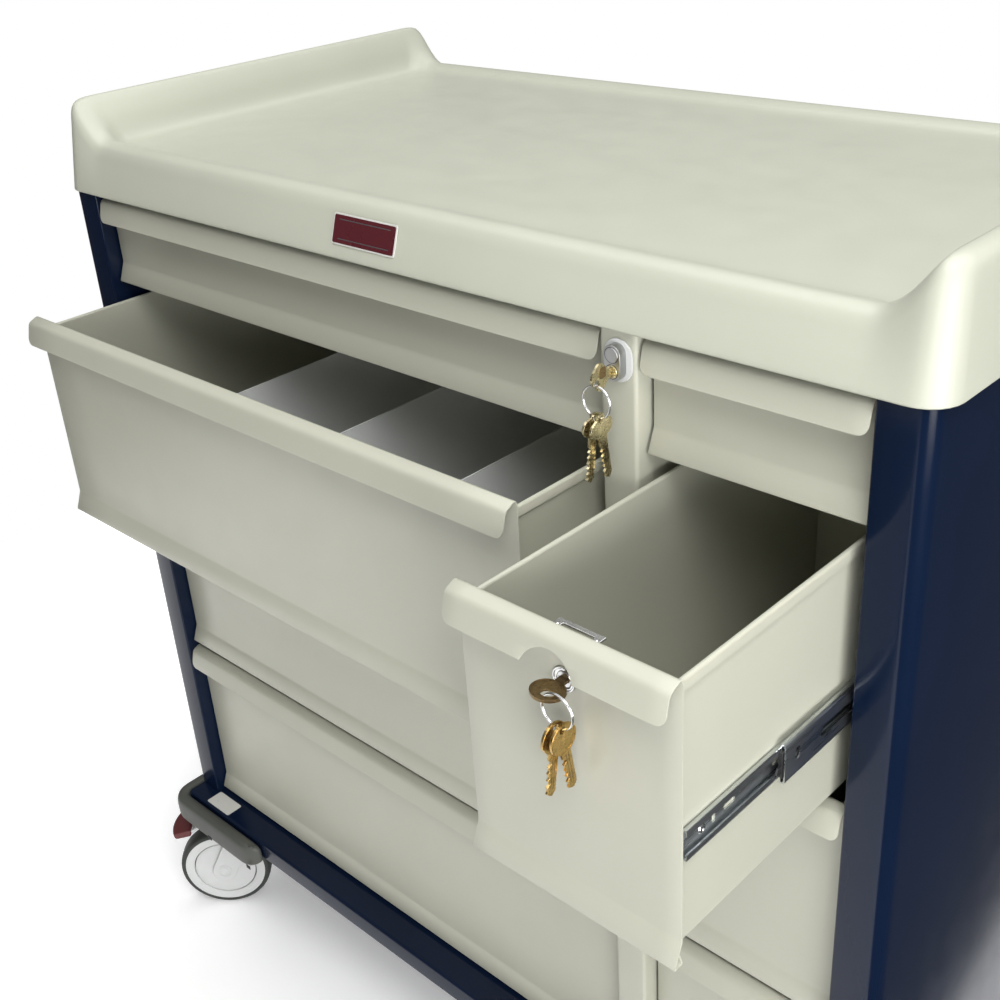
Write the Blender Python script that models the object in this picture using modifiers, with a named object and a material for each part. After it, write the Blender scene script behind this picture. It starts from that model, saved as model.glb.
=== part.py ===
"""Two-column medication cart: steel cabinet, eight drawers, moulded worktop, locks and casters."""
import math

import bmesh
import bpy
from mathutils import Matrix, Vector

# ---- overall layout (metres; x across from the left side, y back from the posts, z up) ----
CABINET_WIDTH = 1.020
CABINET_DEPTH = 0.525
ORIGIN_X = 0.4998687
ORIGIN_Y = 0.1592774
CLEARANCE = 0.0003

# ---- base, casters and bumpers ----
BASE_BOTTOM = 0.1780
BASE_TOP = 0.2025
BASE_INSET_SIDE = 0.006
BASE_FRONT = -0.025
BASE_REAR = CABINET_DEPTH + 0.006
BASE_SHEET = 0.0025
BUMPER_THICKNESS = 0.020
BUMPER_BOTTOM = 0.1640
BUMPER_TOP = 0.2010
BUMPER_FRONT_LENGTH = 0.168
BUMPER_SIDE_LENGTH = 0.130
WHEEL_RADIUS = 0.0635
WHEEL_WIDTH = 0.030
WHEEL_BORE = 0.0060
WHEEL_SEGMENTS = 32
AXLE_RADIUS = 0.0055
CASTER_INSET_X = 0.055
CASTER_INSET_FRONT = 0.030
CASTER_INSET_REAR = 0.055
CASTER_TRAIL = 0.042
CASTER_HEADING = math.radians(223.8)
PEDAL_REACH = 0.0310
PEDAL_HEIGHT = 0.1490
FORK_GAP = 0.0030
FORK_PLATE = 0.0040

# ---- cabinet ----
POST_WIDTH = 0.042
POST_RADIUS = 0.013
SIDE_WALL = 0.0030
CABINET_BOTTOM = BASE_TOP + CLEARANCE
CABINET_TOP = 1.0460
CENTRE_LEFT = 0.749
CENTRE_RIGHT = 0.784
CENTRE_RETURN = 0.0205
CENTRE_SHEET = 0.0020
PARTITION_INSET = 0.0015
BACK_SHEET = 0.0020

# ---- drawers ----
FACE_RECESS = 0.0174
FACE_SHEET = 0.0015
FACE_SIDE_GAP = 0.0033
FLARE = 0.0080
FLARE_HEIGHT = 0.0210
LIP_FORWARD = 0.0186
LIP_DROP = 0.0264
TOP_BEND = 0.002
BAND_FORWARD = 0.0120
BAND_DROP = 0.0035
ROW_BOTTOMS = (0.9338, 0.6918, 0.4498, 0.2078)
ROW_TOPS = (1.0305, 0.9253, 0.6833, 0.4413)
LEFT_OPENING = 0.1126
RIGHT_OPENING = 0.2169
BOX_SHEET = 0.0015
BOX_DEPTH = 0.450
BOX_BELOW_FACE = 0.0100
BOX_ABOVE_FOOT = 0.0040
RIM_FLANGE = 0.0075
SLIDE_GAP = 0.0135
SLIDE_LENGTH = 0.420
SLIDE_HEIGHT = 0.092
SLIDE_HEIGHT_SHALLOW = 0.046
RAIL_TALL = 0.040
MEMBER_TALL = 0.034
DRAWER_MEMBER_TALL = 0.026
RAIL_THICK = 0.0034
MEMBER_THICK = 0.0044
DIVIDER_TOP = 0.840
DIVIDER_SHEET = 0.0012

# ---- worktop ----
TOP_SIDE_OVERHANG = 0.008
TOP_FRONT_OVERHANG = 0.005
TOP_REAR_OVERHANG = 0.008
TOP_SKIRT_BOTTOM = 1.035
TOP_CORNER_RADIUS = 0.026
TOP_INNER_RADIUS = 0.004
TOP_WALL_INSET = 0.0155
TOP_WALL_LEAN = 0.38
TOP_RIM_SPREAD = 1.163
INNER_RINGS = 4
TOP_RAMP_START = 0.020
TOP_RAMP_LENGTH = 0.048

# ---- locks and keys ----
MAIN_LOCK_X = 0.7685
MAIN_LOCK_Z = 1.0110
PLUG_DROP = 0.0066
DRAWER_LOCK_Z = 0.8836
NOTCH_RADIUS = 0.0240
KEY_THICK = 0.0022
RING_RADIUS = 0.0129
BOW_RADIUS = 0.0122
KEY_LENGTH = 0.0530
RING_WIRE = 0.0010
SPARE_LEAN = 0.1571
NOTCH_RISE = 0.0066
GUIDE_DEPTH = 0.0136



def clear_scene():
    for item in list(bpy.data.objects):
        bpy.data.objects.remove(item, do_unlink=True)


def new_collection(name):
    made = bpy.data.collections.new(name)
    bpy.context.scene.collection.children.link(made)
    return made


def make_material(name, colour, roughness, metallic):
    made = bpy.data.materials.new(name)
    made.use_nodes = True
    shader = made.node_tree.nodes["Principled BSDF"]
    shader.inputs["Base Color"].default_value = (colour[0], colour[1], colour[2], 1.0)
    shader.inputs["Roughness"].default_value = roughness
    shader.inputs["Metallic"].default_value = metallic
    return made


def add_empty(name, position, parent=None):
    made = bpy.data.objects.new(name, None)
    PARTS.objects.link(made)
    made.empty_display_size = 0.02
    place(made, position, parent)
    return made


def place(item, position, parent=None):
    """Put an item at a point given from the cart's own left-front-floor corner."""
    world = Vector(position) - Vector((ORIGIN_X, ORIGIN_Y, 0.0))
    if parent is None:
        item.location = world
        return
    bpy.context.view_layer.update()
    item.parent = parent
    item.location = parent.matrix_world.inverted() @ world


def add_part(name, mesh, position, material, parent=None):
    made = bpy.data.objects.new(name, mesh)
    PARTS.objects.link(made)
    own = material.copy()
    own.name = name + "_material"
    made.data.materials.append(own)
    place(made, position, parent)
    return made


def box_mesh(name, low, high, centre):
    """A cuboid between two corners, with its mesh kept relative to centre."""
    low = Vector(low) - Vector(centre)
    high = Vector(high) - Vector(centre)
    work = bmesh.new()
    bmesh.ops.create_cube(work, size=1.0)
    size = high - low
    middle = (high + low) / 2.0
    bmesh.ops.scale(work, vec=size, verts=work.verts)
    bmesh.ops.translate(work, vec=middle, verts=work.verts)
    return finish_mesh(work, name)


def finish_mesh(work, name):
    made = bpy.data.meshes.new(name)
    bmesh.ops.recalc_face_normals(work, faces=work.faces)
    if work.calc_volume(signed=True) < 0.0:
        bmesh.ops.reverse_faces(work, faces=work.faces)
    work.to_mesh(made)
    work.free()
    return made


def round_mesh(name, radius, length, axis, segments=24, radius_end=None):
    """A solid cylinder or cone centred on its own origin, lying along x, y or z."""
    work = bmesh.new()
    bmesh.ops.create_cone(
        work,
        cap_ends=True,
        segments=segments,
        radius1=radius,
        radius2=radius if radius_end is None else radius_end,
        depth=length,
    )
    if axis == "x":
        bmesh.ops.rotate(work, matrix=Matrix.Rotation(math.pi / 2, 3, "Y"), verts=work.verts)
    if axis == "y":
        bmesh.ops.rotate(work, matrix=Matrix.Rotation(math.pi / 2, 3, "X"), verts=work.verts)
    return finish_mesh(work, name)


def plate_mesh(name, outline, thickness, axis):
    """A flat plate: a closed outline in a plane, thickened both ways along axis."""
    work = bmesh.new()
    corners = []
    for first, second in outline:
        if axis == "x":
            corners.append(work.verts.new((-thickness / 2, first, second)))
        elif axis == "y":
            corners.append(work.verts.new((first, -thickness / 2, second)))
        else:
            corners.append(work.verts.new((first, second, -thickness / 2)))
    face = work.faces.new(corners)
    grown = bmesh.ops.extrude_face_region(work, geom=[face])
    moved = [item for item in grown["geom"] if isinstance(item, bmesh.types.BMVert)]
    direction = {"x": (thickness, 0, 0), "y": (0, thickness, 0), "z": (0, 0, thickness)}[axis]
    bmesh.ops.translate(work, vec=direction, verts=moved)
    return finish_mesh(work, name)


def arc(centre, radius, start, end, steps):
    """Points on a circular arc, angles in degrees."""
    points = []
    for step in range(steps + 1):
        angle = math.radians(start + (end - start) * step / steps)
        points.append((centre[0] + radius * math.cos(angle), centre[1] + radius * math.sin(angle)))
    return points


def smooth(item, angle=35.0):
    for face in item.data.polygons:
        face.use_smooth = True
    item.data.set_sharp_from_angle(angle=math.radians(angle))


def add_helper(name, mesh, position, follow):
    """A shape that only cuts or joins another one."""
    made = bpy.data.objects.new(name, mesh)
    HELPERS.objects.link(made)
    made.hide_render = True
    made.display_type = "WIRE"
    world = Vector(position) - Vector((ORIGIN_X, ORIGIN_Y, 0.0))
    bpy.context.view_layer.update()
    made.parent = follow
    made.location = follow.matrix_world.inverted() @ world
    return made


def combine(item, helper, operation):
    change = item.modifiers.new(helper.name, "BOOLEAN")
    change.operation = operation
    change.object = helper
    change.solver = "EXACT"


def cut_box(item, low, high):
    centre = (Vector(low) + Vector(high)) / 2.0
    name = item.name + "_cut_" + str(len(item.modifiers))
    combine(item, add_helper(name, box_mesh(name, low, high, centre), centre, item), "DIFFERENCE")


def join_box(item, low, high):
    centre = (Vector(low) + Vector(high)) / 2.0
    name = item.name + "_join_" + str(len(item.modifiers))
    combine(item, add_helper(name, box_mesh(name, low, high, centre), centre, item), "UNION")


def cut_round(item, radius, length, axis, centre, segments=24):
    name = item.name + "_cut_" + str(len(item.modifiers))
    mesh = round_mesh(name, radius, length, axis, segments)
    combine(item, add_helper(name, mesh, centre, item), "DIFFERENCE")


def slide_heights(row):
    """Height of the slide centre line of one drawer row."""
    return ROW_BOTTOMS[row] + (SLIDE_HEIGHT_SHALLOW if row == 0 else SLIDE_HEIGHT)


# ---------------------------------------------------------------- cabinet

def hollow_wall(name, plan, hole_low, hole_high, material):
    """A double-skinned wall: a plan outline drawn up to the cabinet top, hollow inside."""
    height = CABINET_TOP - CABINET_BOTTOM
    middle = (CABINET_BOTTOM + CABINET_TOP) / 2.0
    wall = add_part(name, plate_mesh(name, plan, height, "z"), (0.0, 0.0, middle), material)
    cut_box(
        wall,
        (hole_low[0], hole_low[1], CABINET_BOTTOM - 0.01),
        (hole_high[0], hole_high[1], CABINET_TOP + 0.01),
    )
    return wall


def mirrored(points, width):
    return [(width - x, y) for x, y in reversed(points)]


def side_panel_plan():
    plan = [(POST_WIDTH, 0.0)]
    plan += [(POST_WIDTH, CABINET_DEPTH), (0.0, CABINET_DEPTH)]
    plan += arc((POST_RADIUS, POST_RADIUS), POST_RADIUS, 180.0, 270.0, 6)
    return plan


def add_rails(wall, wall_face, side, rows):
    """Fixed slide channels on a wall; side is +1 when the drawer lies towards +x."""
    for row in rows:
        height = slide_heights(row)
        low = wall_face - 0.0010 if side > 0 else wall_face - RAIL_THICK
        high = wall_face + RAIL_THICK if side > 0 else wall_face + 0.0010
        join_box(
            wall,
            (low, FACE_RECESS + 0.010, height - RAIL_TALL / 2),
            (high, FACE_RECESS + 0.010 + SLIDE_LENGTH, height + RAIL_TALL / 2),
        )


def build_cabinet():
    left_plan = side_panel_plan()
    left = hollow_wall(
        "left_side_panel",
        left_plan,
        (SIDE_WALL, SIDE_WALL),
        (POST_WIDTH - SIDE_WALL, CABINET_DEPTH - SIDE_WALL),
        NAVY_STEEL,
    )
    add_rails(left, POST_WIDTH, 1, range(4))
    right = hollow_wall(
        "right_side_panel",
        mirrored(left_plan, CABINET_WIDTH),
        (CABINET_WIDTH - POST_WIDTH + SIDE_WALL, SIDE_WALL),
        (CABINET_WIDTH - SIDE_WALL, CABINET_DEPTH - SIDE_WALL),
        NAVY_STEEL,
    )
    add_rails(right, CABINET_WIDTH - POST_WIDTH, -1, range(4))
    inner = PARTITION_INSET
    plan = [
        (CENTRE_LEFT + inner, CENTRE_RETURN + CLEARANCE),
        (CENTRE_RIGHT - inner, CENTRE_RETURN + CLEARANCE),
        (CENTRE_RIGHT - inner, CABINET_DEPTH - BACK_SHEET - CLEARANCE),
        (CENTRE_LEFT + inner, CABINET_DEPTH - BACK_SHEET - CLEARANCE),
    ]
    partition = hollow_wall(
        "centre_partition",
        plan,
        (CENTRE_LEFT + inner + SIDE_WALL, CENTRE_RETURN + SIDE_WALL),
        (CENTRE_RIGHT - inner - SIDE_WALL, CABINET_DEPTH - BACK_SHEET - SIDE_WALL),
        PUTTY_STEEL,
    )
    add_rails(partition, CENTRE_LEFT + inner, -1, range(4))
    add_rails(partition, CENTRE_RIGHT - inner, 1, range(4))
    post_low = (CENTRE_LEFT, 0.0, CABINET_BOTTOM)
    post_high = (CENTRE_RIGHT, CENTRE_RETURN, CABINET_TOP)
    post = add_box("centre_post", post_low, post_high, PUTTY_STEEL)
    cut_box(
        post,
        (CENTRE_LEFT + CENTRE_SHEET, CENTRE_SHEET, CABINET_BOTTOM - 0.01),
        (CENTRE_RIGHT - CENTRE_SHEET, CENTRE_RETURN + 0.01, CABINET_TOP + 0.01),
    )
    add_box(
        "back_panel",
        (POST_WIDTH + CLEARANCE, CABINET_DEPTH - BACK_SHEET, CABINET_BOTTOM),
        (CABINET_WIDTH - POST_WIDTH - CLEARANCE, CABINET_DEPTH, CABINET_TOP),
        NAVY_STEEL,
    )
    pan = add_box(
        "base_pan",
        (BASE_INSET_SIDE, BASE_FRONT, BASE_BOTTOM),
        (CABINET_WIDTH - BASE_INSET_SIDE, BASE_REAR, BASE_TOP),
        NAVY_STEEL,
    )
    cut_box(
        pan,
        (BASE_INSET_SIDE + BASE_SHEET, BASE_FRONT + BASE_SHEET, BASE_BOTTOM - 0.01),
        (
            CABINET_WIDTH - BASE_INSET_SIDE - BASE_SHEET,
            BASE_REAR - BASE_SHEET,
            BASE_TOP - BASE_SHEET,
        ),
    )
    add_box(
        "ledge_label",
        (0.0445, -0.0220, BASE_TOP + CLEARANCE),
        (0.0935, 0.0030, BASE_TOP + CLEARANCE + 0.0004),
        WHITE_PLASTIC,
    )


def add_box(name, low, high, material, parent=None):
    centre = (Vector(low) + Vector(high)) / 2.0
    return add_part(name, box_mesh(name, low, high, centre), centre, material, parent)


# ---------------------------------------------------------------- worktop

def end_inset(inset):
    """Inset at the ends and rear, where the outer wall stands nearly upright below the rim."""
    wall = min(inset, TOP_WALL_INSET)
    return wall * TOP_WALL_LEAN + (inset - wall) * TOP_RIM_SPREAD


def top_loop(inset, side_inset, radius):
    """Plan points of the worktop outline, moved in from the front and from the other sides."""
    left = -TOP_SIDE_OVERHANG + side_inset
    right = CABINET_WIDTH + TOP_SIDE_OVERHANG - side_inset
    front = -TOP_FRONT_OVERHANG + inset
    rear = CABINET_DEPTH + TOP_REAR_OVERHANG - side_inset
    fractions = (0.0, 0.25, 0.5, 0.75, 1.0)
    span = TOP_RAMP_LENGTH
    points = []
    corners = (
        (left + radius, front + radius, 180.0),
        (right - radius, front + radius, 270.0),
        (right - radius, rear - radius, 0.0),
        (left + radius, rear - radius, 90.0),
    )
    for number, (x, y, start) in enumerate(corners):
        points += arc((x, y), radius, start, start + 90.0, 5)
        if number == 0:
            points += [(left + radius + span * f, front) for f in fractions[1:]]
            points += [(right - radius - span * f, front) for f in reversed(fractions[1:])]
        if number == 2:
            points += [(right - radius - span * f, rear) for f in fractions[1:]]
            points += [(left + radius + span * f, rear) for f in reversed(fractions[1:])]
    return points


def rim_share(x):
    """How much of the high end rim is present at x: one at the ends, none along the middle."""
    from_end = min(x + TOP_SIDE_OVERHANG, CABINET_WIDTH + TOP_SIDE_OVERHANG - x)
    share = (from_end - TOP_RAMP_START) / TOP_RAMP_LENGTH
    share = min(max(share, 0.0), 1.0)
    return 1.0 - share * share * (3.0 - 2.0 * share)


def build_worktop():
    rings = (
        (0.0700, 1.0740, 1.0740),
        (0.0660, 1.0463, 1.0463),
        (0.0042, 1.0463, 1.0463),
        (0.0036, 1.0350, 1.0350),
        (0.0000, 1.0350, 1.0350),
        (0.0060, 1.0530, 1.0700),
        (0.0130, 1.0700, 1.1080),
        (0.0155, 1.0790, 1.1220),
        (0.0200, 1.0850, 1.1285),
        (0.0260, 1.0872, 1.1300),
        (0.0340, 1.0868, 1.1285),
        (0.0410, 1.0840, 1.1210),
        (0.0470, 1.0815, 1.1020),
        (0.0540, 1.0802, 1.0850),
        (0.0620, 1.0800, 1.0800),
    )
    work = bmesh.new()
    loops = []
    for inset, low, high in rings:
        loop = []
        inner = len(loops) < INNER_RINGS
        radius = TOP_INNER_RADIUS if inner else TOP_CORNER_RADIUS - inset * 0.35
        side_inset = inset if inner else end_inset(inset)
        for x, y in top_loop(inset, side_inset, radius):
            height = low + (high - low) * rim_share(x)
            loop.append(work.verts.new((x, y, height - TOP_SKIRT_BOTTOM)))
        loops.append(loop)
    for lower, upper in zip(loops, loops[1:]):
        for index in range(len(lower)):
            following = (index + 1) % len(lower)
            work.faces.new((lower[index], lower[following], upper[following], upper[index]))
    work.faces.new(loops[-1])
    work.faces.new(list(reversed(loops[0])))
    mesh = finish_mesh(work, "worktop")
    top = add_part("worktop", mesh, (0.0, 0.0, TOP_SKIRT_BOTTOM), PUTTY_PLASTIC)
    smooth(top)
    plate = add_box(
        "name_plate",
        (0.4450, -0.0014, -0.0138),
        (0.5270, 0.0000, 0.0138),
        MAROON_PLATE,
    )
    lean = math.atan2(0.0060, 0.0180)
    plate.rotation_euler = (-lean, 0.0, 0.0)
    place(plate, (0.4860, 0.0020, 1.0600))


# ---------------------------------------------------------------- bumpers

def bumper_plan(flip_x, flip_y):
    """Outline of the front-left corner bumper, mirrored for the other corners."""
    x0 = BASE_INSET_SIDE - CLEARANCE
    y0 = BASE_FRONT - CLEARANCE
    thick = BUMPER_THICKNESS
    outer = 0.026
    end_x = BASE_INSET_SIDE + BUMPER_FRONT_LENGTH
    end_y = BASE_FRONT + BUMPER_SIDE_LENGTH
    plan = [(x0, y0), (x0, end_y)]
    plan += arc((x0, end_y - thick), thick, 90.0, 180.0, 5)[1:]
    plan += arc((x0 - thick + outer, y0 - thick + outer), outer, 180.0, 270.0, 6)
    plan += arc((end_x - thick, y0), thick, 270.0, 360.0, 5)
    middle_y = (BASE_FRONT + BASE_REAR) / 2.0
    if flip_x:
        plan = [(CABINET_WIDTH - x, y) for x, y in reversed(plan)]
    if flip_y:
        plan = [(x, 2.0 * middle_y - y) for x, y in reversed(plan)]
    return plan


def build_bumpers():
    for name, flip_x, flip_y in (
        ("front_left_bumper", False, False),
        ("front_right_bumper", True, False),
        ("rear_left_bumper", False, True),
        ("rear_right_bumper", True, True),
    ):
        height = BUMPER_TOP - BUMPER_BOTTOM
        mesh = plate_mesh(name, bumper_plan(flip_x, flip_y), height, "z")
        round_outer_edges(mesh)
        middle = (BUMPER_BOTTOM + BUMPER_TOP) / 2.0
        bumper = add_part(name, mesh, (0.0, 0.0, middle), GREY_RUBBER)
        smooth(bumper)


def round_outer_edges(mesh):
    """Round the bumper's top and bottom edges, except where they lie against the base pan."""
    low_x = BASE_INSET_SIDE - CLEARANCE - 0.0001
    low_y = BASE_FRONT - CLEARANCE - 0.0001
    high_x = CABINET_WIDTH - low_x
    high_y = BASE_FRONT + BASE_REAR - low_y
    work = bmesh.new()
    work.from_mesh(mesh)
    outer = []
    for edge in work.edges:
        start, end = edge.verts[0].co, edge.verts[1].co
        level = abs(start.z - end.z) < 0.0001
        middle = (start + end) / 2.0
        inside = low_x < middle.x < high_x and low_y < middle.y < high_y
        if level and not inside:
            outer.append(edge)
    bmesh.ops.bevel(work, geom=outer, offset=0.0070, segments=2, affect="EDGES", profile=0.5)
    bmesh.ops.recalc_face_normals(work, faces=work.faces)
    work.to_mesh(mesh)
    work.free()


# ---------------------------------------------------------------- casters

def turned(length, across=0.0):
    """A plan vector: length along the caster heading, across to its left."""
    along_x = math.cos(CASTER_HEADING)
    along_y = math.sin(CASTER_HEADING)
    return Vector((length * along_x - across * along_y, length * along_y + across * along_x, 0.0))


def ring_solid(name, profile, segments, material, position, parent):
    """A turned solid about the local x axis, from (radius, along) profile points."""
    work = bmesh.new()
    loops = []
    for step in range(segments):
        angle = 2.0 * math.pi * (step + 0.5) / segments - math.pi / 2.0
        loops.append([
            work.verts.new((along, radius * math.cos(angle), radius * math.sin(angle)))
            for radius, along in profile
        ])
    for index in range(segments):
        near = loops[index]
        far = loops[(index + 1) % segments]
        for point in range(len(profile)):
            after = (point + 1) % len(profile)
            work.faces.new((near[point], near[after], far[after], far[point]))
    made = add_part(name, finish_mesh(work, name), position, material, parent)
    smooth(made)
    return made


def build_caster(label, stem_x, stem_y, braked):
    stem = Vector((stem_x, stem_y, 0.0))
    swivel = add_empty(label + "_swivel", stem + Vector((0.0, 0.0, 0.15)))
    head_top = BASE_TOP - BASE_SHEET - CLEARANCE
    head_bottom = 0.1330
    head = round_mesh(label + "_fork", 0.0300, head_top - head_bottom, "z")
    middle = (head_top + head_bottom) / 2.0
    fork = add_part(label + "_fork", head, stem + Vector((0.0, 0.0, middle)), PALE_PLASTIC, swivel)
    across = WHEEL_WIDTH / 2.0 + FORK_GAP + FORK_PLATE / 2.0
    outline = [(-0.021, 0.140), (0.014, 0.140)]
    outline += arc((CASTER_TRAIL, WHEEL_RADIUS), 0.019, 35.0, -150.0, 8)
    for side in (-1.0, 1.0):
        name = label + "_leg_" + ("a" if side < 0 else "b")
        leg = add_helper(name, plate_mesh(name, outline, FORK_PLATE, "y"), stem, fork)
        leg.rotation_euler = (0.0, 0.0, CASTER_HEADING)
        place_child(leg, stem + turned(0.0, side * across), fork)
        combine(fork, leg, "UNION")
    axle_name = label + "_axle"
    axle_mesh = round_mesh(axle_name, AXLE_RADIUS, 2.0 * across, "y", 16)
    axle = add_helper(axle_name, axle_mesh, stem, fork)
    axle.rotation_euler = (0.0, 0.0, CASTER_HEADING)
    hub = stem + turned(CASTER_TRAIL) + Vector((0.0, 0.0, WHEEL_RADIUS))
    place_child(axle, hub, fork)
    combine(fork, axle, "UNION")
    spin = add_empty(label + "_spin", hub, swivel)
    spin.rotation_euler = (0.0, 0.0, CASTER_HEADING + math.pi / 2.0)
    half = WHEEL_WIDTH / 2.0
    tread = WHEEL_RADIUS / math.cos(math.pi / WHEEL_SEGMENTS)
    profile = [
        (WHEEL_BORE, -half), (0.0160, -half), (0.0180, -half + 0.0030), (0.0480, -half + 0.0030),
        (0.0500, -half), (tread - 0.0045, -half + 0.0010), (tread, -half + 0.0070),
        (tread, half - 0.0070), (tread - 0.0045, half - 0.0010), (0.0500, half),
        (0.0480, half - 0.0030), (0.0180, half - 0.0030), (0.0160, half), (WHEEL_BORE, half),
    ]
    ring_solid(label + "_wheel", profile, WHEEL_SEGMENTS, DARK_RUBBER, hub, spin)
    if braked:
        build_pedal(label, stem, swivel)


def place_child(item, position, parent):
    world = Vector(position) - Vector((ORIGIN_X, ORIGIN_Y, 0.0))
    bpy.context.view_layer.update()
    item.location = parent.matrix_world.inverted() @ world


def build_pedal(label, stem, swivel):
    """Brake pedal: a short arm out of the fork head with a wide foot bar."""
    pivot = stem + turned(PEDAL_REACH) + Vector((0.0, 0.0, PEDAL_HEIGHT))
    holder = add_empty(label + "_brake", pivot, swivel)
    holder.rotation_euler = (0.0, 0.0, CASTER_HEADING)
    outline = [(0.000, -0.0110), (0.044, -0.0130), (0.052, -0.0230), (0.072, -0.0230),
               (0.078, -0.0170), (0.078, 0.0170), (0.072, 0.0230), (0.052, 0.0230),
               (0.044, 0.0130), (0.000, 0.0110)]
    name = label + "_brake_pedal"
    pedal = add_part(name, plate_mesh(name, outline, 0.0090, "z"), pivot, RED_PLASTIC, holder)
    pedal.rotation_euler = (0.0, math.radians(12.0), 0.0)
    edge = pedal.modifiers.new("rounded_edges", "BEVEL")
    edge.width = 0.0020
    edge.segments = 2


# ---------------------------------------------------------------- drawers

def face_profile(height):
    """Sheet centre line of a drawer front as (forward, up) from its lower edge."""
    return [
        (FLARE, 0.0),
        (0.0, FLARE_HEIGHT),
        (0.0, height - TOP_BEND),
        (TOP_BEND * 0.6, height),
        (BAND_FORWARD, height - BAND_DROP),
        (LIP_FORWARD, height - LIP_DROP),
    ]


def build_front(name, left, right, row, opening, parent):
    """Folded sheet front: flared foot, flat face and an over-hanging pull lip."""
    bottom = ROW_BOTTOMS[row]
    height = ROW_TOPS[row] - bottom
    face_y = FACE_RECESS - opening
    work = bmesh.new()
    loops = []
    for x in (left, right):
        loops.append([
            work.verts.new((x - left, -forward, up)) for forward, up in face_profile(height)
        ])
    for index in range(len(loops[0]) - 1):
        work.faces.new((loops[0][index], loops[1][index], loops[1][index + 1], loops[0][index + 1]))
    mesh = bpy.data.meshes.new(name)
    work.to_mesh(mesh)
    work.free()
    front = add_part(name, mesh, (left, face_y, bottom), PUTTY_STEEL, parent)
    sheet = front.modifiers.new("sheet", "SOLIDIFY")
    sheet.thickness = FACE_SHEET
    sheet.offset = -1.0
    return front


def build_box(name, left, right, row, opening, parent, member_thick):
    """Drawer box with an inward rim and a slide member along each side."""
    face_back = FACE_RECESS + FACE_SHEET + CLEARANCE - opening
    bottom = ROW_BOTTOMS[row] + BOX_ABOVE_FOOT
    top = ROW_TOPS[row] - BOX_BELOW_FACE
    rear = face_back + BOX_DEPTH
    box = add_box(name, (left, face_back, bottom), (right, rear, top), PUTTY_STEEL, parent)
    thick = BOX_SHEET
    cut_box(
        box,
        (left + thick, face_back + thick, bottom + thick),
        (right - thick, rear - thick, top - thick),
    )
    cut_box(
        box,
        (left + RIM_FLANGE, face_back + thick, top - 0.005),
        (right - RIM_FLANGE, rear - RIM_FLANGE, top + 0.005),
    )
    height = slide_heights(row)
    start = FACE_RECESS + 0.012 - opening
    for inner, outer in (
        (left + 0.0005, left - member_thick),
        (right - 0.0005, right + member_thick),
    ):
        join_box(
            box,
            (min(inner, outer), start, height - DRAWER_MEMBER_TALL / 2),
            (max(inner, outer), start + SLIDE_LENGTH, height + DRAWER_MEMBER_TALL / 2),
        )
    return box


def build_drawer(column, number, row, opening, three_member):
    if column == "left":
        face_left = POST_WIDTH + FACE_SIDE_GAP
        face_right = CENTRE_LEFT - FACE_SIDE_GAP
        box_left = POST_WIDTH + SLIDE_GAP
        box_right = CENTRE_LEFT + PARTITION_INSET - SLIDE_GAP
    else:
        face_left = CENTRE_RIGHT + FACE_SIDE_GAP
        face_right = CABINET_WIDTH - POST_WIDTH - FACE_SIDE_GAP
        box_left = CENTRE_RIGHT - PARTITION_INSET + SLIDE_GAP
        box_right = CABINET_WIDTH - POST_WIDTH - SLIDE_GAP
    label = column + "_drawer_" + str(number)
    middle = (face_left + face_right) / 2.0
    slide = add_empty(label + "_slide", (middle, FACE_RECESS - opening, slide_heights(row)))
    closed_member = SLIDE_GAP - RAIL_THICK - 0.0006
    open_member = SLIDE_GAP - RAIL_THICK - MEMBER_THICK - 0.0010
    thick = open_member if three_member else closed_member
    box = build_box(label + "_box", box_left, box_right, row, opening, slide, thick)
    front = build_front(label + "_front", face_left, face_right, row, opening, slide)
    if three_member:
        for side, edge, direction in (
            ("left", box_left - SLIDE_GAP, 1.0),
            ("right", box_right + SLIDE_GAP, -1.0),
        ):
            build_member(label, side, edge, direction, row, opening)
    return box, front, slide


def build_member(label, side, wall_face, direction, row, opening):
    """Middle slide member, drawn out by half the drawer's opening."""
    near = wall_face + direction * (RAIL_THICK + 0.0005)
    far = near + direction * MEMBER_THICK
    height = slide_heights(row)
    start = FACE_RECESS + 0.011 - opening / 2.0
    holder = add_empty(label + "_" + side + "_member_slide", (near, start, height))
    member = add_box(
        label + "_" + side + "_slide_member",
        (min(near, far), start, height - MEMBER_TALL / 2),
        (max(near, far), start + SLIDE_LENGTH, height + MEMBER_TALL / 2),
        ZINC_STEEL,
        holder,
    )
    groove = near + direction * 0.0016
    end = far + direction * 0.0010
    cut_box(
        member,
        (min(groove, end), start - 0.01, height - DRAWER_MEMBER_TALL / 2 - 0.0008),
        (max(groove, end), start + SLIDE_LENGTH + 0.01, height + DRAWER_MEMBER_TALL / 2 + 0.0008),
    )


def build_drawers():
    openings = {("left", 2): LEFT_OPENING, ("right", 2): RIGHT_OPENING}
    made = {}
    for column in ("left", "right"):
        for number in (1, 2, 3, 4):
            opening = openings.get((column, number), 0.0)
            made[(column, number)] = build_drawer(
                column, number, number - 1, opening, opening > 0.0
            )
    build_dividers(made[("left", 2)])
    return made


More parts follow.
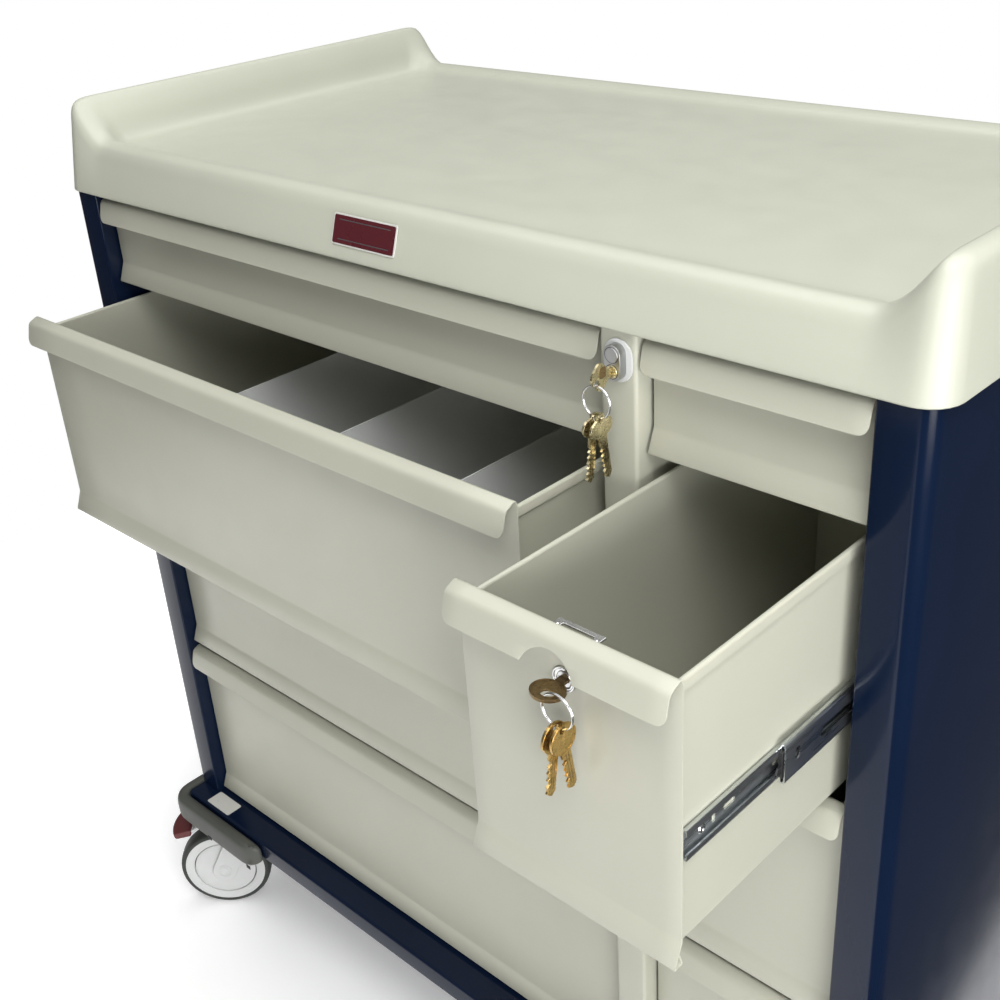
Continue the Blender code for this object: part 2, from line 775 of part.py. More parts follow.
def build_dividers(drawer):
    slide = drawer[2]
    left = POST_WIDTH + SLIDE_GAP + BOX_SHEET
    right = CENTRE_LEFT + PARTITION_INSET - SLIDE_GAP - BOX_SHEET
    pitch = (right - left) / 4.0
    front = FACE_RECESS + FACE_SHEET + CLEARANCE - LEFT_OPENING + BOX_SHEET + CLEARANCE
    rear = front + BOX_DEPTH - 2.0 * BOX_SHEET - 2.0 * CLEARANCE
    floor = ROW_BOTTOMS[1] + BOX_ABOVE_FOOT + BOX_SHEET + CLEARANCE
    for number in (1, 2, 3):
        x = left + pitch * number
        add_box(
            "divider_" + str(number),
            (x - DIVIDER_SHEET / 2, front, floor),
            (x + DIVIDER_SHEET / 2, rear, DIVIDER_TOP),
            PALE_STEEL,
            slide,
        )


# ---------------------------------------------------------------- locks and keys

def oval(width, height, steps=24):
    return [
        (width / 2 * math.cos(2 * math.pi * k / steps), height / 2 * math.sin(2 * math.pi * k / steps))
        for k in range(steps)
    ]


def stadium(width, height, steps=10):
    """An upright slot shape with half-round ends."""
    radius = width / 2.0
    straight = height / 2.0 - radius
    upper = arc((0.0, straight), radius, 0.0, 180.0, steps)
    return upper + arc((0.0, -straight), radius, 180.0, 360.0, steps)


def build_key_ring(name, holder_name, pivot, parent):
    """A wire ring hanging from pivot, its face looking to the front."""
    holder = add_empty(holder_name, pivot, parent)
    centre = Vector(pivot) - Vector((0.0, 0.0, RING_RADIUS - 0.0004))
    bpy.ops.mesh.primitive_torus_add(
        major_segments=28,
        minor_segments=8,
        major_radius=RING_RADIUS,
        minor_radius=RING_WIRE,
    )
    ring = bpy.context.object
    for group in list(ring.users_collection):
        group.objects.unlink(ring)
    turn = Matrix.Rotation(math.pi / 2, 4, "X")
    mesh = ring.data.copy()
    mesh.transform(turn)
    bpy.data.objects.remove(ring)
    made = add_part(name, mesh, centre, BRIGHT_STEEL, holder)
    smooth(made)
    return holder, centre


def spare_key(name, pivot, parent, lean):
    """A loose key hanging from the ring by the hole in its bow."""
    holder = add_empty(name + "_swing", pivot, parent)
    middle = -BOW_RADIUS + 0.0036
    bow = arc((0.0, middle), BOW_RADIUS, 205.0, -25.0, 14)
    shoulder = middle - BOW_RADIUS + 0.0020
    blade = [
        (0.0042, shoulder),
        (0.0042, -KEY_LENGTH + 0.0060),
        (0.0010, -KEY_LENGTH),
        (-0.0028, -KEY_LENGTH + 0.0040),
        (-0.0038, shoulder),
    ]
    key = add_part(name, plate_mesh(name, bow + blade, KEY_THICK, "x"), pivot, BRASS, holder)
    cut_round(key, 0.0032, 0.02, "x", Vector(pivot) + Vector((0.0, 0.0, -0.0012)), 14)
    holder.rotation_euler = (lean, 0.0, 0.0)
    return key


def hang_keys(kind, pivot, turn):
    """A wire ring through the key in the lock, with two loose keys on it."""
    ring_name = kind + "_key_ring"
    holder, centre = build_key_ring(ring_name, kind + "_ring_swing", pivot, turn)
    low = centre - Vector((0.0, 0.0, RING_RADIUS))
    for index, side in enumerate((-1.0, 1.0)):
        at = low + Vector((side * 0.0026, 0.0, 0.0))
        spare_key(kind + "_spare_key_" + str(index + 1), at, holder, side * SPARE_LEAN)


def build_main_lock():
    bezel_mesh = plate_mesh("main_lock_housing", stadium(0.0270, 0.0350), 0.0020, "y")
    front = -CLEARANCE
    housing = add_part(
        "main_lock_housing",
        bezel_mesh,
        (MAIN_LOCK_X, front - 0.0010, MAIN_LOCK_Z),
        ZINC_STEEL,
    )
    name = "main_lock_boss"
    boss = plate_mesh(name, stadium(0.0160, 0.0290), 0.0076, "y")
    boss_at = (MAIN_LOCK_X, front - 0.0055, MAIN_LOCK_Z)
    combine(housing, add_helper(name, boss, boss_at, housing), "UNION")
    plug_z = MAIN_LOCK_Z - PLUG_DROP
    cut_round(housing, 0.0058, 0.0160, "y", (MAIN_LOCK_X, front - 0.0093, plug_z), 20)
    plug_at = Vector((MAIN_LOCK_X, front - 0.0050, plug_z))
    turn = add_empty("main_lock_turn", plug_at)
    plug = round_mesh("main_lock_key", 0.0055, 0.0068, "y", 20)
    key = add_part("main_lock_key", plug, plug_at, BRASS, turn)
    bow_centre = Vector((MAIN_LOCK_X, -0.0235, plug_z + 0.0005))
    bow_mesh = plate_mesh("main_key_bow", oval(0.0200, 0.0230), KEY_THICK, "x")
    combine(key, add_helper("main_key_bow", bow_mesh, bow_centre, key), "UNION")
    join_box(
        key,
        (MAIN_LOCK_X - KEY_THICK / 2, -0.0200, plug_z - 0.0040),
        (MAIN_LOCK_X + KEY_THICK / 2, -0.0060, plug_z + 0.0040),
    )
    hole = bow_centre + Vector((0.0, -0.0045, -0.0040))
    cut_round(key, 0.0034, 0.0200, "x", hole, 14)
    hang_keys("main", hole - Vector((0.0, 0.0, 0.0018)), turn)


def build_drawer_lock(drawer):
    box, front_part, slide = drawer
    face_y = FACE_RECESS - RIGHT_OPENING
    x = (CENTRE_RIGHT + CABINET_WIDTH - POST_WIDTH) / 2.0
    z = DRAWER_LOCK_Z
    cut_round(front_part, NOTCH_RADIUS, 0.0260, "y", (x, face_y - 0.0147, z + NOTCH_RISE), 32)
    cut_round(front_part, 0.0099, 0.0200, "y", (x, face_y, z), 24)
    cut_round(box, 0.0099, 0.0100, "y", (x, face_y + 0.0030, z), 24)
    housing_mesh = round_mesh("drawer_lock_housing", 0.0096, 0.0200, "y", 24)
    housing_at = (x, face_y + 0.0080, z)
    housing = add_part("drawer_lock_housing", housing_mesh, housing_at, BRIGHT_STEEL, slide)
    cut_round(housing, 0.0068, 0.0240, "y", (x, face_y - 0.0020, z), 20)
    plug_at = Vector((x, face_y + 0.0032, z))
    turn = add_empty("drawer_lock_turn", plug_at, slide)
    plug = round_mesh("drawer_lock_key", 0.0065, 0.0096, "y", 20)
    key = add_part("drawer_lock_key", plug, plug_at, BRASS, turn)
    bow_centre = Vector((x, face_y - 0.0169, z))
    bow_mesh = plate_mesh("drawer_key_bow", oval(0.0260, 0.0230), KEY_THICK, "z")
    combine(key, add_helper("drawer_key_bow", bow_mesh, bow_centre, key), "UNION")
    join_box(
        key,
        (x - 0.0042, face_y - 0.0120, z - KEY_THICK / 2),
        (x + 0.0042, face_y + 0.0010, z + KEY_THICK / 2),
    )
    hole = bow_centre + Vector((0.0022, -0.0028, 0.0))
    name = "drawer_key_hole"
    hole_mesh = plate_mesh(name, oval(0.0105, 0.0076), 0.02, "z")
    combine(key, add_helper(name, hole_mesh, hole, key), "DIFFERENCE")
    hang_keys("drawer", bow_centre + Vector((0.0098, -0.0028, 0.0025)), turn)
    top = ROW_TOPS[1]
    guide = add_box(
        "lock_bolt_guide",
        (x - 0.0200, face_y + FACE_SHEET + 0.0006, top - 0.0088),
        (x + 0.0200, face_y + FACE_SHEET + GUIDE_DEPTH, top - 0.0068),
        ZINC_STEEL,
        slide,
    )
    cut_box(
        guide,
        (x - 0.0130, face_y + FACE_SHEET + 0.0050, top - 0.02),
        (x + 0.0130, face_y + FACE_SHEET + 0.0090, top),
    )


clear_scene()
PARTS = new_collection("medication_cart")
HELPERS = new_collection("helpers")

PUTTY_PLASTIC = make_material("putty_plastic", (0.64, 0.65, 0.54), 0.45, 0.0)
PUTTY_STEEL = make_material("putty_steel", (0.62, 0.62, 0.53), 0.40, 0.0)
PALE_STEEL = make_material("pale_steel", (0.60, 0.62, 0.62), 0.40, 0.1)
NAVY_STEEL = make_material("navy_steel", (0.008, 0.015, 0.045), 0.25, 0.0)
GREY_RUBBER = make_material("grey_rubber", (0.34, 0.35, 0.33), 0.60, 0.0)
DARK_RUBBER = make_material("dark_rubber", (0.08, 0.09, 0.08), 0.70, 0.0)
PALE_PLASTIC = make_material("pale_plastic", (0.75, 0.75, 0.74), 0.40, 0.0)
WHITE_PLASTIC = make_material("white_plastic", (0.85, 0.85, 0.82), 0.40, 0.0)
RED_PLASTIC = make_material("red_plastic", (0.28, 0.06, 0.06), 0.50, 0.0)
MAROON_PLATE = make_material("maroon_plate", (0.08, 0.012, 0.015), 0.30, 0.2)
ZINC_STEEL = make_material("zinc_steel", (0.60, 0.60, 0.60), 0.35, 0.9)
BRIGHT_STEEL = make_material("bright_steel", (0.75, 0.75, 0.75), 0.15, 1.0)
BRASS = make_material("brass", (0.62, 0.50, 0.26), 0.30, 0.9)

build_cabinet()
build_worktop()
build_bumpers()
for caster, caster_x, caster_y, has_brake in (
    ("front_left_caster", CASTER_INSET_X, CASTER_INSET_FRONT, True),
    ("front_right_caster", CABINET_WIDTH - CASTER_INSET_X, CASTER_INSET_FRONT, True),
    ("rear_left_caster", CASTER_INSET_X, CABINET_DEPTH - CASTER_INSET_REAR, False),
    ("rear_right_caster", CABINET_WIDTH - CASTER_INSET_X, CABINET_DEPTH - CASTER_INSET_REAR, False),
):
    build_caster(caster, caster_x, caster_y, has_brake)
DRAWERS = build_drawers()
build_main_lock()
build_drawer_lock(DRAWERS[("right", 2)])
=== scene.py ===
"""Looks of the two-column medication cart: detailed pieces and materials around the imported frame."""
import math

import bmesh
import bpy
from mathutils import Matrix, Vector


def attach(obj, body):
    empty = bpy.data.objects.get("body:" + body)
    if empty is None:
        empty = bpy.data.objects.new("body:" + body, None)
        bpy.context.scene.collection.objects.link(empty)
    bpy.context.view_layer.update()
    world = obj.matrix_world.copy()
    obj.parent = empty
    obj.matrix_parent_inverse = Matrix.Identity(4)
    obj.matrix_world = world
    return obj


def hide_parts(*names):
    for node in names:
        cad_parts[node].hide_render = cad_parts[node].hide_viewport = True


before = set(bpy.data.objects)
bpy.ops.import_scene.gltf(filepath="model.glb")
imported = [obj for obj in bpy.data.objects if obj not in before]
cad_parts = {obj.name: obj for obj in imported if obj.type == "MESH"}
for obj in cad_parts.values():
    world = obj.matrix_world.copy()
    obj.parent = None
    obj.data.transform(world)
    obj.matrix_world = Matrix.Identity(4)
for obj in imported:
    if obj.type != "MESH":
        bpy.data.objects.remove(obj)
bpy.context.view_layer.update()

# The cart's own corner (left side of the cabinet, front of the posts, floor) in the row frame.
CORNER = Vector((-0.4998687, -0.1592774, 0.0))
RIGHTWARD = Vector((1.0, 0.0, 0.0))
ALONG_DEPTH = Vector((0.0, 1.0, 0.0))
TO_FRONT = Vector((0.0, -1.0, 0.0))
UP = Vector((0.0, 0.0, 1.0))
CABINET_WIDTH = 1.020
CABINET_DEPTH = 0.525
CABINET_BOTTOM = 0.2028
CABINET_TOP = 1.0460
POST_WIDTH = 0.042
CENTRE_LEFT = 0.749
CENTRE_RIGHT = 0.784
FACE_RECESS = 0.0174
ROW_BOTTOMS = (0.9338, 0.6918, 0.4498, 0.2078)
ROW_TOPS = (1.0305, 0.9253, 0.6833, 0.4413)
OPENINGS = {"left_drawer_2": 0.1126, "right_drawer_2": 0.2169}
BOX_DEPTH = 0.450
FACE_GAP = 0.0033
SLIDE_GAP = 0.0135
SLIDE_LENGTH = 0.420
BOX_SHEET = 0.0012
BUMPER_BOTTOM = 0.1640
BUMPER_TOP = 0.2010
BUMPER_THICKNESS = 0.020
BUMPER_LONG_ARM = 0.168
BUMPER_SHORT_ARM = 0.130
BASE_FRONT = -0.025
BASE_REAR = CABINET_DEPTH + 0.006
BASE_SIDE = 0.006
BASE_BOTTOM = 0.1780
BASE_TOP = 0.2025


# ---------------------------------------------------------------- materials

BUMP_DEPTH = 0.0003
NOISE_LOW = 0.3
NOISE_HIGH = 0.7
# Painted light: the floor glows by its own emission, faint beside the cart and full far to its left,
# lighting the cart and reflecting in it.
GLOW_START = -0.35
GLOW_END = -1.60
NEAR_GLOW = 0.12
FAR_GLOW = 1.00


def link(tree, source, target):
    tree.links.new(source, target)


def add_noise(tree, coordinates, scale, detail, stretch=None):
    noise = tree.nodes.new("ShaderNodeTexNoise")
    noise.inputs["Scale"].default_value = scale
    noise.inputs["Detail"].default_value = detail
    source = coordinates
    if stretch is not None:
        mapping = tree.nodes.new("ShaderNodeMapping")
        mapping.inputs["Scale"].default_value = stretch
        link(tree, coordinates, mapping.inputs["Vector"])
        source = mapping.outputs["Vector"]
    link(tree, source, noise.inputs["Vector"])
    return noise.outputs["Fac"]


def ranged(tree, source, low, high):
    spread = tree.nodes.new("ShaderNodeMapRange")
    spread.inputs["From Min"].default_value = NOISE_LOW
    spread.inputs["From Max"].default_value = NOISE_HIGH
    spread.inputs["To Min"].default_value = low
    spread.inputs["To Max"].default_value = high
    link(tree, source, spread.inputs["Value"])
    return spread.outputs["Result"]


def surface(name, colour, roughness, metallic=0.0, mottle=0.03, mottle_scale=9.0, grain=900.0,
            bump=0.05, spread=0.05, stretch=None, specular=0.5):
    """Procedural finish: slow colour mottle, uneven roughness and a fine grain in the normal."""
    made = bpy.data.materials.new(name)
    made.use_nodes = True
    tree = made.node_tree
    shader = tree.nodes["Principled BSDF"]
    coordinates = tree.nodes.new("ShaderNodeTexCoord").outputs["Object"]
    slow = add_noise(tree, coordinates, mottle_scale, 4.0)
    ramp = tree.nodes.new("ShaderNodeValToRGB")
    ramp.color_ramp.elements[0].position = NOISE_LOW
    ramp.color_ramp.elements[1].position = NOISE_HIGH
    for stop, change in zip(ramp.color_ramp.elements, (1.0 - mottle, 1.0 + mottle)):
        stop.color = (colour[0] * change, colour[1] * change, colour[2] * change, 1.0)
    link(tree, slow, ramp.inputs["Fac"])
    link(tree, ramp.outputs["Color"], shader.inputs["Base Color"])
    shader.inputs["Metallic"].default_value = metallic
    shader.inputs["Specular IOR Level"].default_value = specular
    patches = add_noise(tree, coordinates, mottle_scale * 3.0, 6.0, stretch)
    rough = ranged(tree, patches, max(roughness - spread, 0.02), roughness + spread)
    link(tree, rough, shader.inputs["Roughness"])
    fine = add_noise(tree, coordinates, grain, 3.0, stretch)
    normal = tree.nodes.new("ShaderNodeBump")
    normal.inputs["Strength"].default_value = bump
    normal.inputs["Distance"].default_value = BUMP_DEPTH
    link(tree, fine, normal.inputs["Height"])
    link(tree, normal.outputs["Normal"], shader.inputs["Normal"])
    return made


def floor_finish():
    """White studio sweep: matt, faintly uneven, with painted light: its emission glows faintly beside the
    cart and rises to full towards its far left end.
    """
    made = surface("studio_floor", (0.960, 0.960, 0.960), 0.75, grain=60.0, bump=0.01, mottle=0.004)
    tree = made.node_tree
    shader = tree.nodes["Principled BSDF"]
    split = tree.nodes.new("ShaderNodeSeparateXYZ")
    place = tree.nodes.new("ShaderNodeTexCoord")
    link(tree, place.outputs["Object"], split.inputs["Vector"])
    # Painted light: emission strength rises with distance to the left of the cart.
    rise = tree.nodes.new("ShaderNodeMapRange")
    rise.interpolation_type = "SMOOTHSTEP"
    rise.inputs["From Min"].default_value = GLOW_START
    rise.inputs["From Max"].default_value = GLOW_END
    rise.inputs["To Min"].default_value = NEAR_GLOW
    rise.inputs["To Max"].default_value = FAR_GLOW
    link(tree, split.outputs["X"], rise.inputs["Value"])
    shader.inputs["Emission Color"].default_value = (1.0, 1.0, 1.0, 1.0)
    link(tree, rise.outputs["Result"], shader.inputs["Emission Strength"])
    return made


PUTTY_PLASTIC = surface("putty_plastic", (0.440, 0.450, 0.372), 0.40, grain=1400.0, bump=0.14, mottle=0.015)
PUTTY_PAINT = surface("putty_paint", (0.424, 0.424, 0.350), 0.36, grain=750.0, bump=0.10, mottle=0.012)
PALE_PAINT = surface("pale_paint", (0.820, 0.830, 0.825), 0.34, grain=750.0, bump=0.08, mottle=0.012)
NAVY_PAINT = surface("navy_paint", (0.0030, 0.0080, 0.0240), 0.16, grain=500.0, bump=0.02, mottle=0.08,
                     spread=0.02, specular=0.22)
BUMPER_VINYL = surface("bumper_vinyl", (0.062, 0.065, 0.056), 0.52, grain=1600.0, bump=0.12, mottle=0.05)
TYRE_RUBBER = surface("tyre_rubber", (0.026, 0.029, 0.025), 0.62, grain=1500.0, bump=0.2, mottle=0.08)
WHITE_MOULDING = surface("white_moulding", (0.540, 0.548, 0.540), 0.35, grain=1200.0, bump=0.06)
LABEL_FILM = surface("label_film", (0.560, 0.555, 0.520), 0.30, grain=400.0, bump=0.02)
RED_MOULDING = surface("red_moulding", (0.095, 0.016, 0.017), 0.42, grain=1200.0, bump=0.10, mottle=0.06)
MAROON_ENAMEL = surface("maroon_enamel", (0.070, 0.010, 0.014), 0.28, grain=600.0, bump=0.02)
BLACK_MOULDING = surface("black_moulding", (0.012, 0.012, 0.013), 0.40, grain=900.0, bump=0.08)
# Near-black for the real joint lines round the lock plugs, and painted shade for the wheel core seen through
# its gap and for the bumper notches.
DARK_JOINT_AND_SHADE = surface("dark_joint_and_painted_shade", (0.015, 0.015, 0.016), 0.70, grain=900.0, bump=0.08)
ZINC = surface("zinc_plate", (0.620, 0.650, 0.660), 0.30, metallic=1.0, mottle=0.08, mottle_scale=40.0,
               grain=500.0, bump=0.06, spread=0.10, stretch=(1.0, 0.06, 1.0))
CHROME = surface("chrome_plate", (0.700, 0.700, 0.700), 0.20, metallic=1.0, grain=300.0, bump=0.02,
                 spread=0.04)
CAST_GREY = surface("cast_grey", (0.430, 0.435, 0.430), 0.34, metallic=1.0, grain=900.0, bump=0.10,
                    spread=0.08)
BRASS = surface("key_brass", (0.560, 0.380, 0.140), 0.30, metallic=1.0, mottle=0.16, mottle_scale=160.0,
                grain=2500.0, bump=0.10, spread=0.10)
PALE_BRASS = surface("pale_brass", (0.620, 0.540, 0.330), 0.28, metallic=1.0, mottle=0.16,
                     mottle_scale=160.0, grain=2500.0, bump=0.10, spread=0.10)
BRONZE = surface("key_bronze", (0.300, 0.210, 0.105), 0.34, metallic=1.0, mottle=0.2, mottle_scale=160.0,
                 grain=2500.0, bump=0.10, spread=0.10)
FLOOR = floor_finish()


# ---------------------------------------------------------------- mesh helpers

SIDE_LETTERS = {-1.0: "a", 1.0: "b"}
WELD_DISTANCE = 0.000001
AXIS_CORE = 0.0001
FINE_CORE = 0.00005


def at(x, y, z):
    """A point measured from the cart's own corner, in the row frame."""
    return CORNER + Vector((x, y, z))


def arc(centre, radius, start, end, steps):
    points = []
    for step in range(steps + 1):
        angle = math.radians(start + (end - start) * step / steps)
        points.append((centre[0] + radius * math.cos(angle), centre[1] + radius * math.sin(angle)))
    return points


def rounded_box_outline(width, height, radius, steps=5):
    """Rounded rectangle about the origin, anticlockwise."""
    half_w, half_h = width / 2.0 - radius, height / 2.0 - radius
    points = []
    for x, y, start in ((half_w, half_h, 0.0), (-half_w, half_h, 90.0),
                        (-half_w, -half_h, 180.0), (half_w, -half_h, 270.0)):
        points += arc((x, y), radius, start, start + 90.0, steps)
    return points


def outward(work):
    bmesh.ops.recalc_face_normals(work, faces=work.faces)
    if work.calc_volume(signed=True) < 0.0:
        bmesh.ops.reverse_faces(work, faces=work.faces)


def loft(loops, closed=True, caps=True):
    """Skin between loops of points; closed joins each loop's ends."""
    work = bmesh.new()
    rings = [[work.verts.new(point) for point in loop] for loop in loops]
    for near, far in zip(rings, rings[1:]):
        count = len(near) if closed else len(near) - 1
        for index in range(count):
            after = (index + 1) % len(near)
            work.faces.new((near[index], near[after], far[after], far[index]))
    if caps:
        work.faces.new(list(reversed(rings[0])))
        work.faces.new(rings[-1])
        outward(work)
    mesh = bpy.data.meshes.new("mesh")
    work.to_mesh(mesh)
    work.free()
    return mesh


def welded(mesh):
    """The mesh with its first and last loops joined and its faces turned outward."""
    work = bmesh.new()
    work.from_mesh(mesh)
    bmesh.ops.remove_doubles(work, verts=work.verts, dist=WELD_DISTANCE)
    outward(work)
    work.to_mesh(mesh)
    work.free()
    return mesh


def plate(outline, thickness, origin, across, up):
    """A flat plate: 2D outline in the across/up plane at origin, thickened both ways."""
    across, up = Vector(across), Vector(up)
    normal = across.cross(up).normalized()
    loops = []
    for side in (-0.5, 0.5):
        loops.append([origin + across * u + up * v + normal * (side * thickness) for u, v in outline])
    return loft(loops)


def lathe(profile, origin, axis, steps=48, closed=True):
    """Turn (radius, along) points about an axis through origin."""
    axis = Vector(axis).normalized()
    side = axis.orthogonal().normalized()
    other = axis.cross(side)
    loops = []
    for radius, along in profile:
        loop = []
        for step in range(steps):
            angle = 2.0 * math.pi * step / steps
            spoke = side * math.cos(angle) + other * math.sin(angle)
            loop.append(origin + axis * along + spoke * radius)
        loops.append(loop)
    if closed:
        loops.append(loops[0])
        return welded(loft(loops, caps=False))
    return loft(loops)


def peg(radius, half_length, centre, axis, steps, core=FINE_CORE):
    """A plain round cutter, centred."""
    profile = [(core, -half_length), (radius, -half_length), (radius, half_length), (core, half_length)]
    return lathe(profile, centre, axis, steps, closed=False)


def ellipse(half_width, half_height, steps):
    turns = [2.0 * math.pi * k / steps for k in range(steps)]
    return [(half_width * math.cos(turn), half_height * math.sin(turn)) for turn in turns]


def box(low, high):
    low, high = Vector(low), Vector(high)
    outline = [(low.x, low.y), (high.x, low.y), (high.x, high.y), (low.x, high.y)]
    return loft([[Vector((x, y, z)) for x, y in outline] for z in (low.z, high.z)])


def ease_edges(made, width, angle, segments=2):
    change = made.modifiers.new("edges", "BEVEL")
    change.width = width
    change.segments = segments
    change.limit_method = "ANGLE"
    change.angle_limit = math.radians(angle)
    return change


def piece(name, mesh, body, material, replaced=(), bevel=0.0, segments=2, angle=32.0, subdivide=0):
    """Add one visible piece that rides on a body and may stand for CAD nodes."""
    mesh.name = name
    made = bpy.data.objects.new(name, mesh)
    bpy.context.scene.collection.objects.link(made)
    mesh.materials.append(material)
    for face in mesh.polygons:
        face.use_smooth = True
    if subdivide:
        change = made.modifiers.new("subdivide", "SUBSURF")
        change.levels = subdivide
        change.render_levels = subdivide
    else:
        mesh.set_sharp_from_angle(angle=math.radians(angle))
    if bevel > 0.0:
        ease_edges(made, bevel, angle, segments).harden_normals = True
    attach(made, body)
    if replaced:
        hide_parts(*replaced)
    return made


def cut(target, cutter_mesh):
    """Take a closed shape out of a piece for good."""
    cutter = bpy.data.objects.new("cutter", cutter_mesh)
    bpy.context.scene.collection.objects.link(cutter)
    change = target.modifiers.new("cut", "BOOLEAN")
    change.operation = "DIFFERENCE"
    change.solver = "EXACT"
    change.object = cutter
    while target.modifiers.find("cut") > 0:
        target.modifiers.move(target.modifiers.find("cut"), 0)
    others = [m for m in target.modifiers if m.name != "cut"]
    for other in others:
        other.show_viewport = False
    bpy.context.view_layer.update()
    graph = bpy.context.evaluated_depsgraph_get()
    mesh = bpy.data.meshes.new_from_object(target.evaluated_get(graph))
    target.modifiers.remove(change)
    for other in others:
        other.show_viewport = True
    target.data = mesh
    bpy.data.objects.remove(cutter)


# ---------------------------------------------------------------- worktop

TOP_RINGS = (
    # inset, low height, height at the end rims
    (0.0660, 1.0740, 1.0740), (0.0640, 1.0480, 1.0480), (0.0620, 1.0464, 1.0464),
    (0.0046, 1.0464, 1.0464), (0.0042, 1.0455, 1.0455), (0.0037, 1.0360, 1.0360),
    (0.0032, 1.0350, 1.0350), (0.0006, 1.0350, 1.0350), (0.0000, 1.0358, 1.0358),
    (0.0008, 1.0400, 1.0410), (0.0060, 1.0550, 1.0720), (0.0112, 1.0690, 1.1030),
    (0.0140, 1.0765, 1.1175), (0.0185, 1.0835, 1.1262), (0.0255, 1.0868, 1.1293),
    (0.0330, 1.0866, 1.1290), (0.0395, 1.0846, 1.1240), (0.0440, 1.0823, 1.1120),
    (0.0490, 1.0808, 1.0960), (0.0550, 1.0802, 1.0845), (0.0620, 1.0800, 1.0802),
    (0.0700, 1.0800, 1.0800), (0.0800, 1.0800, 1.0800),
)
SMOOTH_FROM = 8
END_WALL_INSET = 0.0155
END_WALL_LEAN = 0.38
RIM_SPREAD = 1.163
TOP_SIDE_OVERHANG = 0.008
TOP_FRONT_OVERHANG = 0.005


def catmull(before, start, end, after, t):
    """A point between start and end on a smooth curve through four stations."""
    return tuple(
        0.5 * (2.0 * b + (c - a) * t + (2.0 * a - 5.0 * b + 4.0 * c - d) * t * t
               + (3.0 * b - a - 3.0 * c + d) * t * t * t)
        for a, b, c, d in zip(before, start, end, after)
    )


def dense_rings():
    """The ring list with two more stations worked in between each outer pair."""
    rings = list(TOP_RINGS[:SMOOTH_FROM])
    last = len(TOP_RINGS) - 1
    for index in range(SMOOTH_FROM, last):
        stations = [TOP_RINGS[max(index - 1, SMOOTH_FROM)], TOP_RINGS[index], TOP_RINGS[index + 1],
                    TOP_RINGS[min(index + 2, last)]]
        rings += [catmull(*stations, t) for t in (0.0, 0.34, 0.67)]
    return rings + [TOP_RINGS[last]]


def rim_share(x):
    """How much of the high end rim is present at x: one at the ends, none along the middle."""
    from_end = min(x + TOP_SIDE_OVERHANG, CABINET_WIDTH + TOP_SIDE_OVERHANG - x)
    share = min(max((from_end - 0.019) / 0.047, 0.0), 1.0)
    return 1.0 - share ** 1.25 * (2.25 - 1.25 * share) if share < 1.0 else 0.0


def end_inset(inset):
    """Inset at the ends and rear, where the outer wall stands nearly upright below the rim."""
    wall = min(inset, END_WALL_INSET)
    return wall * END_WALL_LEAN + (inset - wall) * RIM_SPREAD


def top_loop(inset, side_inset, radius):
    """Plan points of one ring, closer together where the rim ramps up near the ends."""
    left, right = -TOP_SIDE_OVERHANG + side_inset, CABINET_WIDTH + TOP_SIDE_OVERHANG - side_inset
    front, rear = -TOP_FRONT_OVERHANG + inset, CABINET_DEPTH + TOP_SIDE_OVERHANG - side_inset
    ramp = [0.006 * k for k in range(1, 11)]
    far = [0.075 + (0.40 - 0.075) * k / 4.0 for k in range(1, 5)]
    steps = ramp + far
    points = arc((left + radius, front + radius), radius, 180.0, 270.0, 6)
    points += [(left + radius + s, front) for s in steps]
    points += [(right - radius - s, front) for s in reversed(steps)]
    points += arc((right - radius, front + radius), radius, 270.0, 360.0, 6)
    sides = [front + radius + (rear - front - 2.0 * radius) * k / 8.0 for k in range(1, 8)]
    points += [(right, y) for y in sides]
    points += arc((right - radius, rear - radius), radius, 0.0, 90.0, 6)
    points += [(right - radius - s, rear) for s in steps]
    points += [(left + radius + s, rear) for s in reversed(steps)]
    points += arc((left + radius, rear - radius), radius, 90.0, 180.0, 6)
    points += [(left, y) for y in reversed(sides)]
    return points


def build_worktop():
    loops = []
    for number, (inset, low, high) in enumerate(dense_rings()):
        radius = 0.018 if number < 7 else max(0.026 - inset * 0.30, 0.010)
        side_inset = inset if number < SMOOTH_FROM else end_inset(inset)
        loop = []
        for x, y in top_loop(inset, side_inset, radius):
            loop.append(at(x, y, low + (high - low) * rim_share(x)))
        loops.append(loop)
    piece("worktop_moulding", loft(loops), "cart", PUTTY_PLASTIC, ("worktop",), angle=60.0)
    lean = math.atan2(0.0060, 0.0180)
    across = RIGHTWARD
    up = Vector((0.0, math.sin(lean), math.cos(lean)))
    out = Vector((0.0, -math.cos(lean), math.sin(lean)))
    middle = at(0.4860, 0.0021, 1.0606)
    outline = rounded_box_outline(0.0820, 0.0276, 0.0022)
    piece("name_plate_border", plate(outline, 0.0012, middle, across, up), "cart", LABEL_FILM,
          ("name_plate",), bevel=0.0003)
    inner = rounded_box_outline(0.0790, 0.0246, 0.0016)
    field = plate(inner, 0.0012, middle + out * 0.0002, across, up)
    piece("name_plate_field", field, "cart", MAROON_ENAMEL)
    bar = rounded_box_outline(0.066, 0.0008, 0.0003, 2)
    for number, v in enumerate((-0.0085, 0.0085)):
        line = plate(bar, 0.0012, middle + out * 0.0003 + up * v, across, up)
        piece("name_plate_line_" + str(number + 1), line, "cart", CHROME)


# ---------------------------------------------------------------- cabinet

def wall_mesh(plan, low, high):
    return loft([[at(x, y, z) for x, y in plan] for z in (low, high)])


def flipped(points):
    return [(CABINET_WIDTH - x, y) for x, y in reversed(points)]


